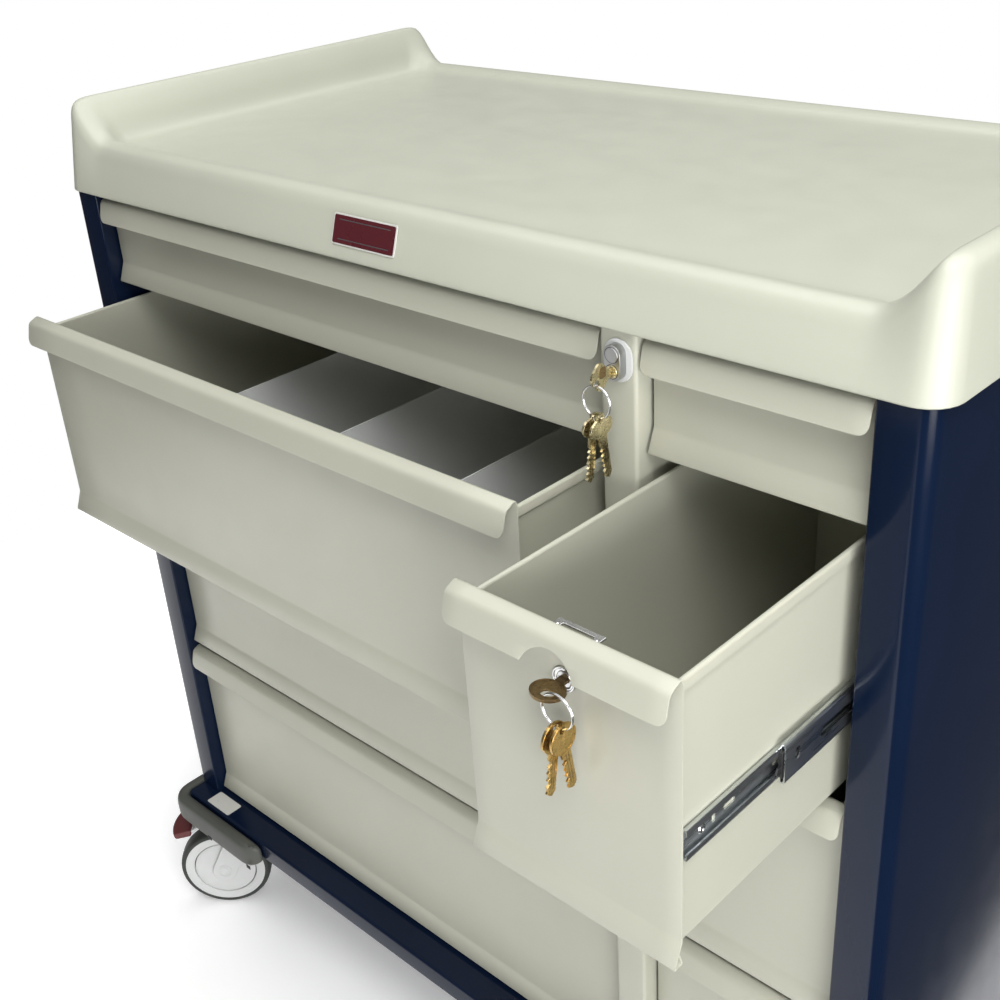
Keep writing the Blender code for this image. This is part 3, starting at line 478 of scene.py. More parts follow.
def side_plan():
    """Sheet plan of a side wall: outer skin wrapped round the post, and the inner skin."""
    outer = [(POST_WIDTH, 0.060), (POST_WIDTH, 0.002)]
    outer += arc((POST_WIDTH - 0.002, 0.002), 0.002, 0.0, -90.0, 3)[1:]
    outer += arc((0.013, 0.013), 0.013, 270.0, 180.0, 10)
    outer += arc((0.003, CABINET_DEPTH - 0.003), 0.003, 180.0, 90.0, 4)
    outer += [(POST_WIDTH, CABINET_DEPTH)]
    inner = [(POST_WIDTH - 0.0014, CABINET_DEPTH - 0.0014), (0.0030, CABINET_DEPTH - 0.0014),
             (0.0014, CABINET_DEPTH - 0.0030)]
    inner += arc((0.013, 0.013), 0.0116, 180.0, 270.0, 10)
    inner += [(POST_WIDTH - 0.0030, 0.0014), (POST_WIDTH - 0.0014, 0.0030), (POST_WIDTH - 0.0014, 0.060)]
    return outer + inner


def inner_skin_plan():
    return [(POST_WIDTH - 0.0014, 0.0605), (POST_WIDTH, 0.0605), (POST_WIDTH, CABINET_DEPTH - 0.0025),
            (POST_WIDTH - 0.0014, CABINET_DEPTH - 0.0025)]


def build_cabinet():
    for side, flip in (("left", False), ("right", True)):
        skin = flipped(side_plan()) if flip else side_plan()
        inner = flipped(inner_skin_plan()) if flip else inner_skin_plan()
        piece(side + "_side_skin", wall_mesh(skin, CABINET_BOTTOM, CABINET_TOP), "cart", NAVY_PAINT,
              (side + "_side_panel",))
        piece(side + "_inner_skin", wall_mesh(inner, CABINET_BOTTOM, CABINET_TOP), "cart", NAVY_PAINT)
    bend = 0.0035
    outer = [(CENTRE_LEFT, 0.0205)] + arc((CENTRE_LEFT + bend, bend), bend, 180.0, 270.0, 6)
    outer += arc((CENTRE_RIGHT - bend, bend), bend, 270.0, 360.0, 6) + [(CENTRE_RIGHT, 0.0205)]
    inset = 0.0016
    inner = [(CENTRE_RIGHT - inset, 0.0205)]
    inner += arc((CENTRE_RIGHT - bend, bend), bend - inset, 360.0, 270.0, 6)
    inner += arc((CENTRE_LEFT + bend, bend), bend - inset, 270.0, 180.0, 6) + [(CENTRE_LEFT + inset, 0.0205)]
    piece("centre_post_channel", wall_mesh(outer + inner, CABINET_BOTTOM, CABINET_TOP), "cart",
          PUTTY_PAINT, ("centre_post",))
    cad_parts["centre_partition"].data.materials[0] = PUTTY_PAINT
    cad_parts["back_panel"].data.materials[0] = NAVY_PAINT
    build_base()


def build_base():
    side, front, rear = BASE_SIDE, BASE_FRONT, BASE_REAR
    width = CABINET_WIDTH - side
    loops = []
    bend = 0.004

    def ring(inset, z):
        radius = max(0.006 - inset, 0.0015)
        points = []
        for x, y, start in ((side + radius + inset, front + radius + inset, 180.0),
                            (width - radius - inset, front + radius + inset, 270.0),
                            (width - radius - inset, rear - radius - inset, 0.0),
                            (side + radius + inset, rear - radius - inset, 90.0)):
            points += arc((x, y), radius, start, start + 90.0, 4)
        return [at(x, y, z) for x, y in points]

    loops.append(ring(0.0040, BASE_TOP - 0.0022))
    loops.append(ring(0.0022, BASE_TOP - 0.0040))
    loops.append(ring(0.0020, BASE_BOTTOM))
    loops.append(ring(0.0000, BASE_BOTTOM))
    for step in range(7):
        angle = math.radians(90.0 * step / 6.0)
        loops.append(ring(bend * (1.0 - math.cos(angle)), BASE_TOP - bend + bend * math.sin(angle)))
    piece("base_ledge", loft(loops), "cart", NAVY_PAINT, ("base_pan",), angle=40.0)
    outline = rounded_box_outline(0.0470, 0.0235, 0.0025)
    centre = at(0.0695, -0.0095, BASE_TOP + 0.0006)
    piece("ledge_sticker", plate(outline, 0.0004, centre, (1, 0, 0), (0, 1, 0)), "cart", LABEL_FILM,
          ("ledge_label",))


def bumper_path(flip_x, flip_y):
    """Centre line of a corner bumper, from the end on the long side round to the short side."""
    x0, y0 = BASE_SIDE - 0.0003, BASE_FRONT - 0.0003
    mid = BUMPER_THICKNESS / 2.0
    end_x = BASE_SIDE + BUMPER_LONG_ARM
    end_y = BASE_FRONT + BUMPER_SHORT_ARM
    radius = 0.020
    path = [(end_x - 0.002 - 0.012 * k, y0 - mid) for k in range(0, 12)]
    path += arc((x0 - mid + radius, y0 - mid + radius), radius, 270.0, 180.0, 10)
    path += [(x0 - mid, y0 + 0.022 + (end_y - 0.004 - y0 - 0.022) * k / 8.0) for k in range(1, 9)]
    middle_y = (BASE_FRONT + BASE_REAR) / 2.0
    if flip_x:
        path = [(CABINET_WIDTH - x, y) for x, y in path]
    if flip_y:
        path = [(x, 2.0 * middle_y - y) for x, y in path]
    return path


def build_bumper(name, flip_x, flip_y):
    path = [Vector((x, y, 0.0)) for x, y in bumper_path(flip_x, flip_y)]
    inward = -1.0 if flip_x == flip_y else 1.0
    height = (BUMPER_TOP - BUMPER_BOTTOM) / 2.0
    half = BUMPER_THICKNESS / 2.0 - 0.0001
    middle = (BUMPER_BOTTOM + BUMPER_TOP) / 2.0
    loops = []
    lengths = [0.0]
    for a, b in zip(path, path[1:]):
        lengths.append(lengths[-1] + (b - a).length)
    total = lengths[-1]
    for index, point in enumerate(path):
        before, after = path[max(index - 1, 0)], path[min(index + 1, len(path) - 1)]
        heading = (after - before).normalized()
        side = Vector((-heading.y, heading.x, 0.0)) * inward
        near_end = min(lengths[index], total - lengths[index])
        shrink = math.sqrt(max(1.0 - max(1.0 - near_end / BUMPER_THICKNESS, 0.0) ** 2, 0.04))
        loop = []
        for k in range(20):
            angle = 2.0 * math.pi * k / 20.0
            c, s = math.cos(angle), math.sin(angle)
            u = math.copysign(abs(c) ** 0.55, c) * half
            v = math.copysign(abs(s) ** 0.60, s) * (height - 0.0005) * (0.55 + 0.45 * shrink)
            u = -half + (u + half) * shrink if u > -half + 0.0001 else u
            loop.append(CORNER + point + side * -u + Vector((0.0, 0.0, middle + v)))
        loops.append(loop)
    piece(name + "_moulding", loft(loops), "cart", BUMPER_VINYL, (name,), angle=60.0, subdivide=1)


# ---------------------------------------------------------------- drawers

def front_profile(height):
    """Outer face of the folded front as (forward, up), bends rounded, from hem to lip end."""
    points = [(0.0010, 0.0085), (0.0004, 0.0026), (0.0007, 0.0012), (0.0018, 0.0007)]
    points += [(0.0066, 0.0007), (0.0076, 0.0009), (0.0079, 0.0019)]
    points += [(0.0012, 0.0186), (0.0004, 0.0205), (0.0001, 0.0225)]
    points += [(0.0, 0.05), (0.0, height * 0.6), (0.0, height - 0.0046)]
    points += [(0.0003, height - 0.0026), (0.0012, height - 0.0010), (0.0027, height - 0.0003)]
    points += [(0.0045, height - 0.0006), (0.0103, height - 0.0032)]
    points += [(0.0122, height - 0.0044), (0.0133, height - 0.0064)]
    points += [(0.0140, height - 0.0090), (0.0158, height - 0.0160), (0.0172, height - 0.0215)]
    points += [(0.0179, height - 0.0240), (0.0186, height - 0.0264)]
    return points


def front_rows(left, right, height, face_y, bottom):
    """Rows of points across the sheet, narrowing into rounded corners at the lip's end."""
    profile = front_profile(height)
    run = [0.0]
    for a, b in zip(profile, profile[1:]):
        run.append(run[-1] + math.hypot(b[0] - a[0], b[1] - a[1]))
    total = run[-1]
    corner = 0.0085
    fine_rows = []
    for index, (forward, up) in enumerate(profile[:-1]):
        fine_rows.append((forward, up, run[index]))
        if run[index + 1] > total - corner - 0.004:
            pieces = 6
            nf, nu = profile[index + 1]
            for k in range(1, pieces):
                t = k / pieces
                fine_rows.append((forward + (nf - forward) * t, up + (nu - up) * t,
                                  run[index] + (run[index + 1] - run[index]) * t))
    fine_rows.append((profile[-1][0], profile[-1][1], total))
    rows = []
    for forward, up, length in fine_rows:
        past = max(length - (total - corner), 0.0)
        inset = corner - math.sqrt(max(corner * corner - past * past, 0.0))
        low = 0.0018 if length < 0.004 else 0.0
        inset += low
        count = 12
        row = []
        for k in range(count + 1):
            x = left + inset + (right - left - 2.0 * inset) * k / count
            row.append(at(x, face_y - forward, bottom + up))
        rows.append(row)
    return rows


def build_front(label, left, right, row, opening):
    bottom = ROW_BOTTOMS[row]
    height = ROW_TOPS[row] - bottom
    face_y = FACE_RECESS - opening
    mesh = loft(front_rows(left, right, height, face_y, bottom), closed=False, caps=False)
    name = label + "_folded_front"
    made = piece(name, mesh, label, PUTTY_PAINT, (label + "_front",), angle=40.0)
    sheet = made.modifiers.new("sheet", "SOLIDIFY")
    sheet.thickness = 0.0013
    sheet.offset = 0.0
    ease_edges(made, 0.0003, 60.0)
    return made


def box_section(left, right, bottom, top):
    """Cross-section of a drawer box: sheet floor and sides with rolled top rims."""
    thick = BOX_SHEET
    roll = 0.0022
    right_side = arc((right + 0.0002, top - roll), roll, 180.0, 0.0, 8)
    right_side += [(right + 0.0024, top - 0.0090), (right + 0.0016, top - 0.0100)]
    right_side += [(right + 0.0012, top - 0.0092), (right + 0.0011, top - 0.0030)]
    outer_right = [(right, top - 0.0036), (right, bottom + 0.002), (right - 0.002, bottom)]
    inner_left_up = [(left + thick + 0.0012, bottom + thick), (left + thick, bottom + thick + 0.0012)]
    mirrored_rim = [(left + right - x, y) for x, y in reversed(right_side)]
    mirrored_outer = [(left + right - x, y) for x, y in reversed(outer_right)]
    inner_right = [(right - thick, bottom + thick + 0.0012), (right - thick - 0.0012, bottom + thick)]
    return (right_side + outer_right + mirrored_outer + mirrored_rim
            + [(left + 0.0020, top - 0.0022)] + list(reversed(inner_left_up)) + list(reversed(inner_right))
            + [(right - 0.0020, top - 0.0022)])


def build_box(label, left, right, row, opening):
    front = FACE_RECESS + 0.0021 - opening
    rear = front + BOX_DEPTH
    bottom = ROW_BOTTOMS[row] + 0.004
    top = ROW_TOPS[row] - 0.010
    section = box_section(left, right, bottom, top)
    loops = [[at(x, y, z) for x, z in section] for y in (front, rear)]
    piece(label + "_box_body", loft(loops), label, PUTTY_PAINT, (label + "_box",), angle=30.0)
    thick = BOX_SHEET
    inner = (left + thick + 0.0001, right - thick - 0.0001)
    front_wall = box(at(inner[0], front, bottom + thick + 0.0001), at(inner[1], front + thick, top - 0.002))
    rear_wall = box(at(inner[0], rear - thick, bottom + thick + 0.0001), at(inner[1], rear, top - 0.004))
    piece(label + "_box_front_wall", front_wall, label, PUTTY_PAINT, bevel=0.0004)
    piece(label + "_box_rear_wall", rear_wall, label, PUTTY_PAINT, bevel=0.0004)


# ---------------------------------------------------------------- slides

def channel_section(height, depth, thick, lip):
    """Closed outline of a C channel in (out, up): web at out 0, flanges towards +out."""
    half = height / 2.0
    bend = min(lip * 0.5, depth * 0.45)
    outer = [(0.0, half - bend)] + arc((bend, half - bend), bend, 180.0, 90.0, 4)[1:]
    outer += [(depth - 0.0004, half), (depth, half - 0.0006), (depth, half - lip)]
    inner = [(depth - thick, half - lip), (depth - thick, half - thick - 0.0004), (bend, half - thick),
             (thick + 0.0004, half - bend - 0.0004), (thick, half - bend - 0.0012)]
    upper = outer + inner
    lower = [(u, -v) for u, v in reversed(upper)]
    return upper + lower


def slide_mesh(section, x, direction, start, length, z):
    loops = []
    for y in (start, start + length):
        loops.append([at(x + direction * u, y, z + v) for u, v in section])
    return loft(loops)


def slide_height(row):
    return ROW_BOTTOMS[row] + (0.046 if row == 0 else 0.092)


def oblong(width, height, steps=6):
    return rounded_box_outline(width, height, min(width, height) / 2.0 - 0.00001, steps)


def side_cut(target, x, y, z, width, height):
    """An oblong hole through a sheet that faces +x or -x."""
    cut(target, plate(oblong(width, height), 0.012, at(x, y, z), (0, 1, 0), (0, 0, 1)))


def build_slides(label, box_left, box_right, row, opening):
    """Fixed and drawer members on both sides of one drawer, and middle members when it stands open."""
    z = slide_height(row)
    fixed = channel_section(0.0440, 0.0090, 0.0012, 0.0050)
    middle = channel_section(0.0340, 0.0046, 0.0011, 0.0060)
    drawer = channel_section(0.0260, 0.0044, 0.0011, 0.0055)
    for side, wall, edge, direction in (
        ("left", box_left - SLIDE_GAP, box_left, 1.0),
        ("right", box_right + SLIDE_GAP, box_right, -1.0),
    ):
        start = FACE_RECESS + 0.0100
        name = label + "_" + side
        piece(name + "_fixed_channel",
              slide_mesh(fixed, wall + direction * 0.0001, direction, start, SLIDE_LENGTH, z), "cart", ZINC)
        start = FACE_RECESS + 0.0120 - opening
        member = piece(name + "_drawer_channel",
                       slide_mesh(drawer, edge - direction * 0.0001, -direction, start, SLIDE_LENGTH, z),
                       label, ZINC)
        for offset, width, height in ((0.034, 0.0040, 0.0085), (0.052, 0.0130, 0.0045),
                                      (0.110, 0.0130, 0.0045)):
            side_cut(member, edge, start + offset, z, width, height)
        screw = lathe([(0.0001, 0.0), (0.0036, 0.0), (0.0038, 0.0006), (0.0030, 0.0014), (0.0012, 0.0017),
                       (0.0009, 0.0009), (0.0001, 0.0008)],
                      at(edge - direction * 0.0013, start + 0.020, z), (-direction, 0, 0), 20, closed=False)
        piece(name + "_slide_screw", screw, label, CHROME)
        if opening > 0.0:
            build_middle_member(label, side, wall, direction, row, opening, middle)


def build_middle_member(label, side, wall, direction, row, opening, section):
    z = slide_height(row)
    start = FACE_RECESS + 0.0110 - opening / 2.0
    body = label + "_" + side + "_member"
    node = label + "_" + side + "_slide_member"
    web = wall + direction * 0.0042
    made = piece(body + "_channel", slide_mesh(section, web, direction, start, SLIDE_LENGTH, z),
                 body, ZINC, (node,))
    side_cut(made, web, start + 0.072, z, 0.0520, 0.0100)
    side_cut(made, web, start + 0.016, z + 0.002, 0.0060, 0.0110)
    retainer = rounded_box_outline(0.0100, 0.0240, 0.0020, 3)
    block = plate(retainer, 0.0034, at(web + direction * 0.0032, start + 0.0032, z), (0, 1, 0), (0, 0, 1))
    piece(body + "_bumper_block", block, body, BLACK_MOULDING, bevel=0.0004)
    lever = plate([(-0.020, 0.004), (0.006, 0.006), (0.012, 0.001), (0.006, -0.003), (-0.014, -0.004),
                   (-0.022, -0.001)], 0.0016, at(web + direction * 0.0026, start + 0.014, z - 0.004),
                  (0, 1, 0), (0, 0, 1))
    piece(body + "_release_lever", lever, body, BLACK_MOULDING, bevel=0.0003)


def build_drawers():
    for column in ("left", "right"):
        if column == "left":
            face = (POST_WIDTH + FACE_GAP, CENTRE_LEFT - FACE_GAP)
            inner = (POST_WIDTH + SLIDE_GAP, CENTRE_LEFT + 0.0015 - SLIDE_GAP)
        else:
            face = (CENTRE_RIGHT + FACE_GAP, CABINET_WIDTH - POST_WIDTH - FACE_GAP)
            inner = (CENTRE_RIGHT - 0.0015 + SLIDE_GAP, CABINET_WIDTH - POST_WIDTH - SLIDE_GAP)
        for row in range(4):
            label = column + "_drawer_" + str(row + 1)
            opening = OPENINGS.get(label, 0.0)
            front = build_front(label, face[0], face[1], row, opening)
            if label == "right_drawer_2":
                cut_lock_notch(front)
            build_box(label, inner[0], inner[1], row, opening)
            build_slides(label, inner[0], inner[1], row, opening)
    for number in (1, 2, 3):
        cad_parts["divider_" + str(number)].data.materials[0] = PALE_PAINT


LOCK_X = (CENTRE_RIGHT + CABINET_WIDTH - POST_WIDTH) / 2.0
LOCK_Z = 0.8836
LOCK_HOLE_RADIUS = 0.0098
NOTCH_RADIUS = 0.0240
NOTCH_RISE = 0.0066


def cut_lock_notch(front):
    opening = OPENINGS["right_drawer_2"]
    face_y = FACE_RECESS - opening
    notch_centre = at(LOCK_X, face_y - 0.0147, LOCK_Z + NOTCH_RISE)
    cut(front, peg(NOTCH_RADIUS, 0.0132, notch_centre, ALONG_DEPTH, 64, AXIS_CORE))
    cut(front, peg(LOCK_HOLE_RADIUS, 0.006, at(LOCK_X, face_y, LOCK_Z), ALONG_DEPTH, 32, AXIS_CORE))


build_worktop()
build_cabinet()
for bumper, flip_x, flip_y in (("front_left_bumper", False, False), ("front_right_bumper", True, False),
                               ("rear_left_bumper", False, True), ("rear_right_bumper", True, True)):
    build_bumper(bumper, flip_x, flip_y)
build_drawers()

# ---------------------------------------------------------------- casters

WHEEL_RADIUS = 0.0635
FORK_REACH = 0.0800
LEG_HALF_WIDTH = 0.0165
LEG_THICKNESS = 0.0060
LEG_OFFSET = 0.0166
STEM_INSET = 0.055
FRONT_STEM_Y = 0.030
PEDAL_HEIGHT = 0.1490
PEDAL_TILT = 12.0
CASTER_TRAIL = 0.042
HEADING = math.radians(223.8)
FORWARD = Vector((math.cos(HEADING), math.sin(HEADING), 0.0))
ACROSS = Vector((-math.sin(HEADING), math.cos(HEADING), 0.0))
CASTERS = (
    ("front_left", STEM_INSET, FRONT_STEM_Y, True),
    ("front_right", CABINET_WIDTH - STEM_INSET, FRONT_STEM_Y, True),
    ("rear_left", STEM_INSET, CABINET_DEPTH - STEM_INSET, False),
    ("rear_right", CABINET_WIDTH - STEM_INSET, CABINET_DEPTH - STEM_INSET, False),
)


def mirrored_profile(half_profile):
    """(radius, along) points for along >= 0 from inside out, mirrored into a closed ring."""
    return half_profile + [(radius, -along) for radius, along in reversed(half_profile)]


def build_wheel(label, hub):
    body = label + "_wheel"
    tyre = [(0.0560, 0.0136), (0.0580, 0.0146), (0.0600, 0.0143), (0.0618, 0.0128), (0.0629, 0.0100),
            (0.0634, 0.0060), (0.0635, 0.0020)]
    piece(body + "_tyre", lathe(mirrored_profile(tyre), hub, ACROSS, 72), body, TYRE_RUBBER,
          (label + "_caster_wheel",), angle=50.0)
    rim = [(0.0440, 0.0080), (0.0440, 0.0128), (0.0446, 0.0135), (0.0550, 0.0141), (0.0562, 0.0137),
           (0.0564, 0.0120)]
    piece(body + "_rim", lathe(mirrored_profile(rim), hub, ACROSS, 72), body, WHITE_MOULDING, angle=50.0)
    # Painted shade: the near-black core shows only through the narrow gap between cover and rim, standing
    # for the shaded inside of the wheel.
    core = [(0.0060, 0.0090), (0.0441, 0.0090)]
    piece(body + "_core", lathe(mirrored_profile(core), hub, ACROSS, 48), body, DARK_JOINT_AND_SHADE)


def leg_outline(half, reach):
    """Raised fork leg: flat-ended foot round the hub, sides running up to the head."""
    lean = Vector((-CASTER_TRAIL, reach)).normalized()
    side = Vector((-lean.y, lean.x))
    foot = []
    for degrees in (0.0, -28.0, -56.0, -90.0, -124.0, -152.0, -180.0):
        angle = math.radians(degrees)
        foot.append(side * (-half * math.cos(angle)) + lean * (half * 1.15 * math.sin(angle)))
    top = [side * half * 1.1 + lean * reach * 1.02, side * -half * 1.1 + lean * reach * 1.02]
    return [(point.x, point.y) for point in foot + top]


def build_fork_side(body, name, side, hub):
    """Disc cover, raised leg, and the hub's ring and cap on one side of the wheel."""
    def turned(part, half_profile, steps, closed=True, angle=32.0):
        profile = [(radius, along * side) for radius, along in half_profile]
        mesh = lathe(profile, hub, ACROSS, steps, closed=closed)
        piece(body + "_" + name + part, mesh, body, WHITE_MOULDING, angle=angle)

    turned("_cover", [(0.0062, 0.0100), (0.0062, 0.0140), (0.0300, 0.0140), (0.0412, 0.0134),
                      (0.0426, 0.0126), (0.0428, 0.0100)], 72, angle=50.0)
    centre = hub + ACROSS * (side * LEG_OFFSET)
    leg = plate(leg_outline(LEG_HALF_WIDTH, FORK_REACH), LEG_THICKNESS, centre, FORWARD, UP)
    piece(body + "_" + name + "_leg", leg, body, WHITE_MOULDING, bevel=0.0012, segments=3)
    turned("_hub_ring", [(0.0092, 0.0196), (0.0092, 0.0201), (0.0103, 0.0201), (0.0103, 0.0196)], 40)
    turned("_hub_cap", [(AXIS_CORE, 0.0190), (0.0070, 0.0190), (0.0070, 0.0199), (0.0060, 0.0204),
                        (AXIS_CORE, 0.0206)], 40, closed=False)


def build_fork(label, stem, hub):
    body = label + "_caster"
    build_fork_side(body, "inner", -1.0, hub)
    build_fork_side(body, "outer", 1.0, hub)
    head = [(AXIS_CORE, 0.1335), (0.0270, 0.1335), (0.0295, 0.1355), (0.0300, 0.1400), (0.0300, 0.1560),
            (0.0285, 0.1590), (0.0240, 0.1600), (0.0240, 0.1640), (0.0275, 0.1650), (0.0280, 0.1670),
            (0.0280, 0.1770), (0.0270, 0.1777), (AXIS_CORE, 0.1777)]
    piece(body + "_head", lathe(head, Vector((stem.x, stem.y, 0.0)), UP, 56, closed=False), body,
          WHITE_MOULDING, (label + "_caster_fork",))


def build_pedal(label, stem):
    body = label + "_pedal"
    pivot = Vector((stem.x, stem.y, PEDAL_HEIGHT)) + FORWARD * 0.0310
    tilt = math.radians(PEDAL_TILT)
    out = FORWARD * math.cos(tilt) - UP * math.sin(tilt)
    rise = FORWARD * math.sin(tilt) + UP * math.cos(tilt)
    arm = [(0.0, 0.0105), (0.0, -0.0105), (0.040, -0.0120), (0.047, -0.0190), (0.060, -0.0195),
           (0.060, 0.0195), (0.047, 0.0190), (0.040, 0.0120)]
    piece(body + "_arm", plate(arm, 0.0050, pivot - rise * 0.0018, out, ACROSS), body, WHITE_MOULDING,
          (label + "_caster_brake_pedal",), bevel=0.0015, segments=3)
    bar = []
    for k in range(9):
        share = -1.0 + 2.0 * k / 8.0
        swell = 1.0 - 0.16 * share * share
        section = rounded_box_outline(0.0290 * swell, 0.0100 * (0.92 + 0.08 * swell), 0.0035, 4)
        centre = pivot + out * (0.0625 - 0.0030 * share * share) + ACROSS * (0.0228 * share)
        bar.append([centre + out * u + rise * v for u, v in section])
    piece(body + "_foot_bar", loft(bar), body, RED_MOULDING, angle=50.0, bevel=0.0012)


def build_casters():
    for label, x, y, braked in CASTERS:
        stem = at(x, y, 0.0)
        hub = stem + FORWARD * CASTER_TRAIL + UP * WHEEL_RADIUS
        build_wheel(label, hub)
        build_fork(label, stem, hub)
        if braked:
            build_pedal(label, stem)


# ---------------------------------------------------------------- locks and keys

RING_RADIUS = 0.0129
KEY_THICK = 0.0020
MAIN_X = 0.7685
MAIN_Z = 1.0110
PLUG_DROP = 0.0066


def stadium(width, height, steps=14):
    radius = width / 2.0
    straight = height / 2.0 - radius
    upper = arc((0.0, straight), radius, 0.0, 180.0, steps)
    return upper + arc((0.0, -straight), radius, 180.0, 360.0, steps)


def disc(radius, depth, centre, axis, rim=0.0003, steps=40):
    """A thin turned disc standing on centre, its edge eased."""
    profile = [(FINE_CORE, 0.0), (radius, 0.0), (radius, depth - rim), (radius - rim, depth),
               (FINE_CORE, depth)]
    return lathe(profile, centre, axis, steps, closed=False)


def ring_band(inner, outer, depth, centre, axis, steps=40):
    return lathe([(inner, 0.0), (outer, 0.0), (outer, depth), (inner, depth)], centre, axis, steps)


def border(outline, width, thickness, origin, across, up):
    """A raised rim that follows an outline."""
    across, up = Vector(across), Vector(up)
    normal = across.cross(up).normalized()
    scale = 1.0 - width / max(abs(u) for u, v in outline)
    loops = []
    for share, side in ((1.0, 0.5), (scale, 0.5), (scale, -0.5), (1.0, -0.5), (1.0, 0.5)):
        loops.append([origin + across * (u * share) + up * (v * share) + normal * (side * thickness)
                      for u, v in outline])
    return welded(loft(loops, caps=False))


def blade_outline(start, end, width, cuts):
    """Right and left edge of a key blade running down from start to end."""
    right = [(width * 0.5, start), (width * 0.5, end + 0.0035), (width * 0.12, end)]
    left = [(-width * 0.20, end + 0.0012)]
    span = (start - end - 0.0080) / cuts
    for k in range(cuts):
        low = end + 0.0030 + span * k
        bite = 0.30 if k % 3 == 1 else 0.14 if k % 3 == 0 else 0.22
        left += [(-width * 0.5, low), (-width * (0.5 - bite), low + span * 0.35),
                 (-width * (0.5 - bite), low + span * 0.60), (-width * 0.5, low + span * 0.95)]
    left += [(-width * 0.5, start)]
    return right + left


def round_bow(radius, centre_v, start_angle):
    return arc((0.0, centre_v), radius, 180.0 + start_angle, -start_angle, 28)


def kidney_bow(centre_v):
    """Two broad lobes with a small square tab between them."""
    right = [(0.0040, centre_v + 0.0122), (0.0042, centre_v + 0.0088)]
    right += arc((0.0060, centre_v + 0.0008), 0.0066, 75.0, -60.0, 10)
    right += [(0.0046, centre_v - 0.0072)]
    left = [(-u, v) for u, v in reversed(right)]
    return left + right


def hang_key(kind, number, pivot, lean, material):
    """One loose key hanging in the front-to-back plane from the ring."""
    across = Vector((0.0, math.cos(lean), math.sin(lean)))
    up = Vector((0.0, -math.sin(lean), math.cos(lean)))
    body = kind + "_spare_" + str(number)
    node = kind + "_spare_key_" + str(number)
    if kind == "main":
        middle = -0.0088
        bow = kidney_bow(middle)
        blade = blade_outline(-0.0180, -0.0526, 0.0082, 6)
    else:
        middle = -0.0086
        bow = round_bow(0.0120, middle, 20.0)
        blade = blade_outline(-0.0190, -0.0526, 0.0084, 5)
    made = piece(body + "_key", plate(bow + blade, KEY_THICK, pivot, across, up), body, material, (node,))
    cut(made, peg(0.0027, 0.004, pivot - up * 0.0008, RIGHTWARD, 24))
    # Painted shade: thin darker bronze strips on both faces of the blade stand for its shaded grooves.
    for offset in (-0.0008, 0.0014):
        start, end = pivot - up * 0.0210, pivot - up * 0.0470
        for side in (-1.0, 1.0):
            face = RIGHTWARD * (side * (KEY_THICK / 2.0 + 0.00002))
            groove_shade = plate([(-0.0003, -0.013), (0.0003, -0.013), (0.0003, 0.013), (-0.0003, 0.013)], 0.00016,
                           (start + end) / 2.0 + across * offset + face, across, up)
            piece(body + "_groove_" + SIDE_LETTERS[side] + ("1" if offset < 0 else "2"), groove_shade, body,
                  BRONZE)
    if kind == "drawer":
        rim = [(u, v) for u, v in rounded_box_outline(0.0228, 0.0228, 0.0113, 12)]
        piece(body + "_bow_rim", border(rim, 0.0011, KEY_THICK + 0.0004, pivot + up * middle, across, up),
              body, material)
    ease_edges(made, 0.00025, 40.0)


def hang_keys(kind, pivot, material):
    """Split ring through the key in the lock, with two loose keys on it."""
    centre = pivot - UP * (RING_RADIUS - 0.0004)
    for number, offset in ((1, -0.00050), (2, 0.00050)):
        wire = [(RING_RADIUS + u, offset + v) for u, v in ellipse(0.00072, 0.00056, 12)]
        made = lathe(wire, centre, ALONG_DEPTH, 72)
        piece(kind + "_ring_coil_" + str(number), made, kind + "_ring", CHROME,
              (kind + "_key_ring",) if number == 1 else (), angle=60.0)
    low = centre - UP * RING_RADIUS
    for number, side in ((1, -1.0), (2, 1.0)):
        hang_key(kind, number, low + RIGHTWARD * (side * 0.0026), side * math.radians(9.0), material)


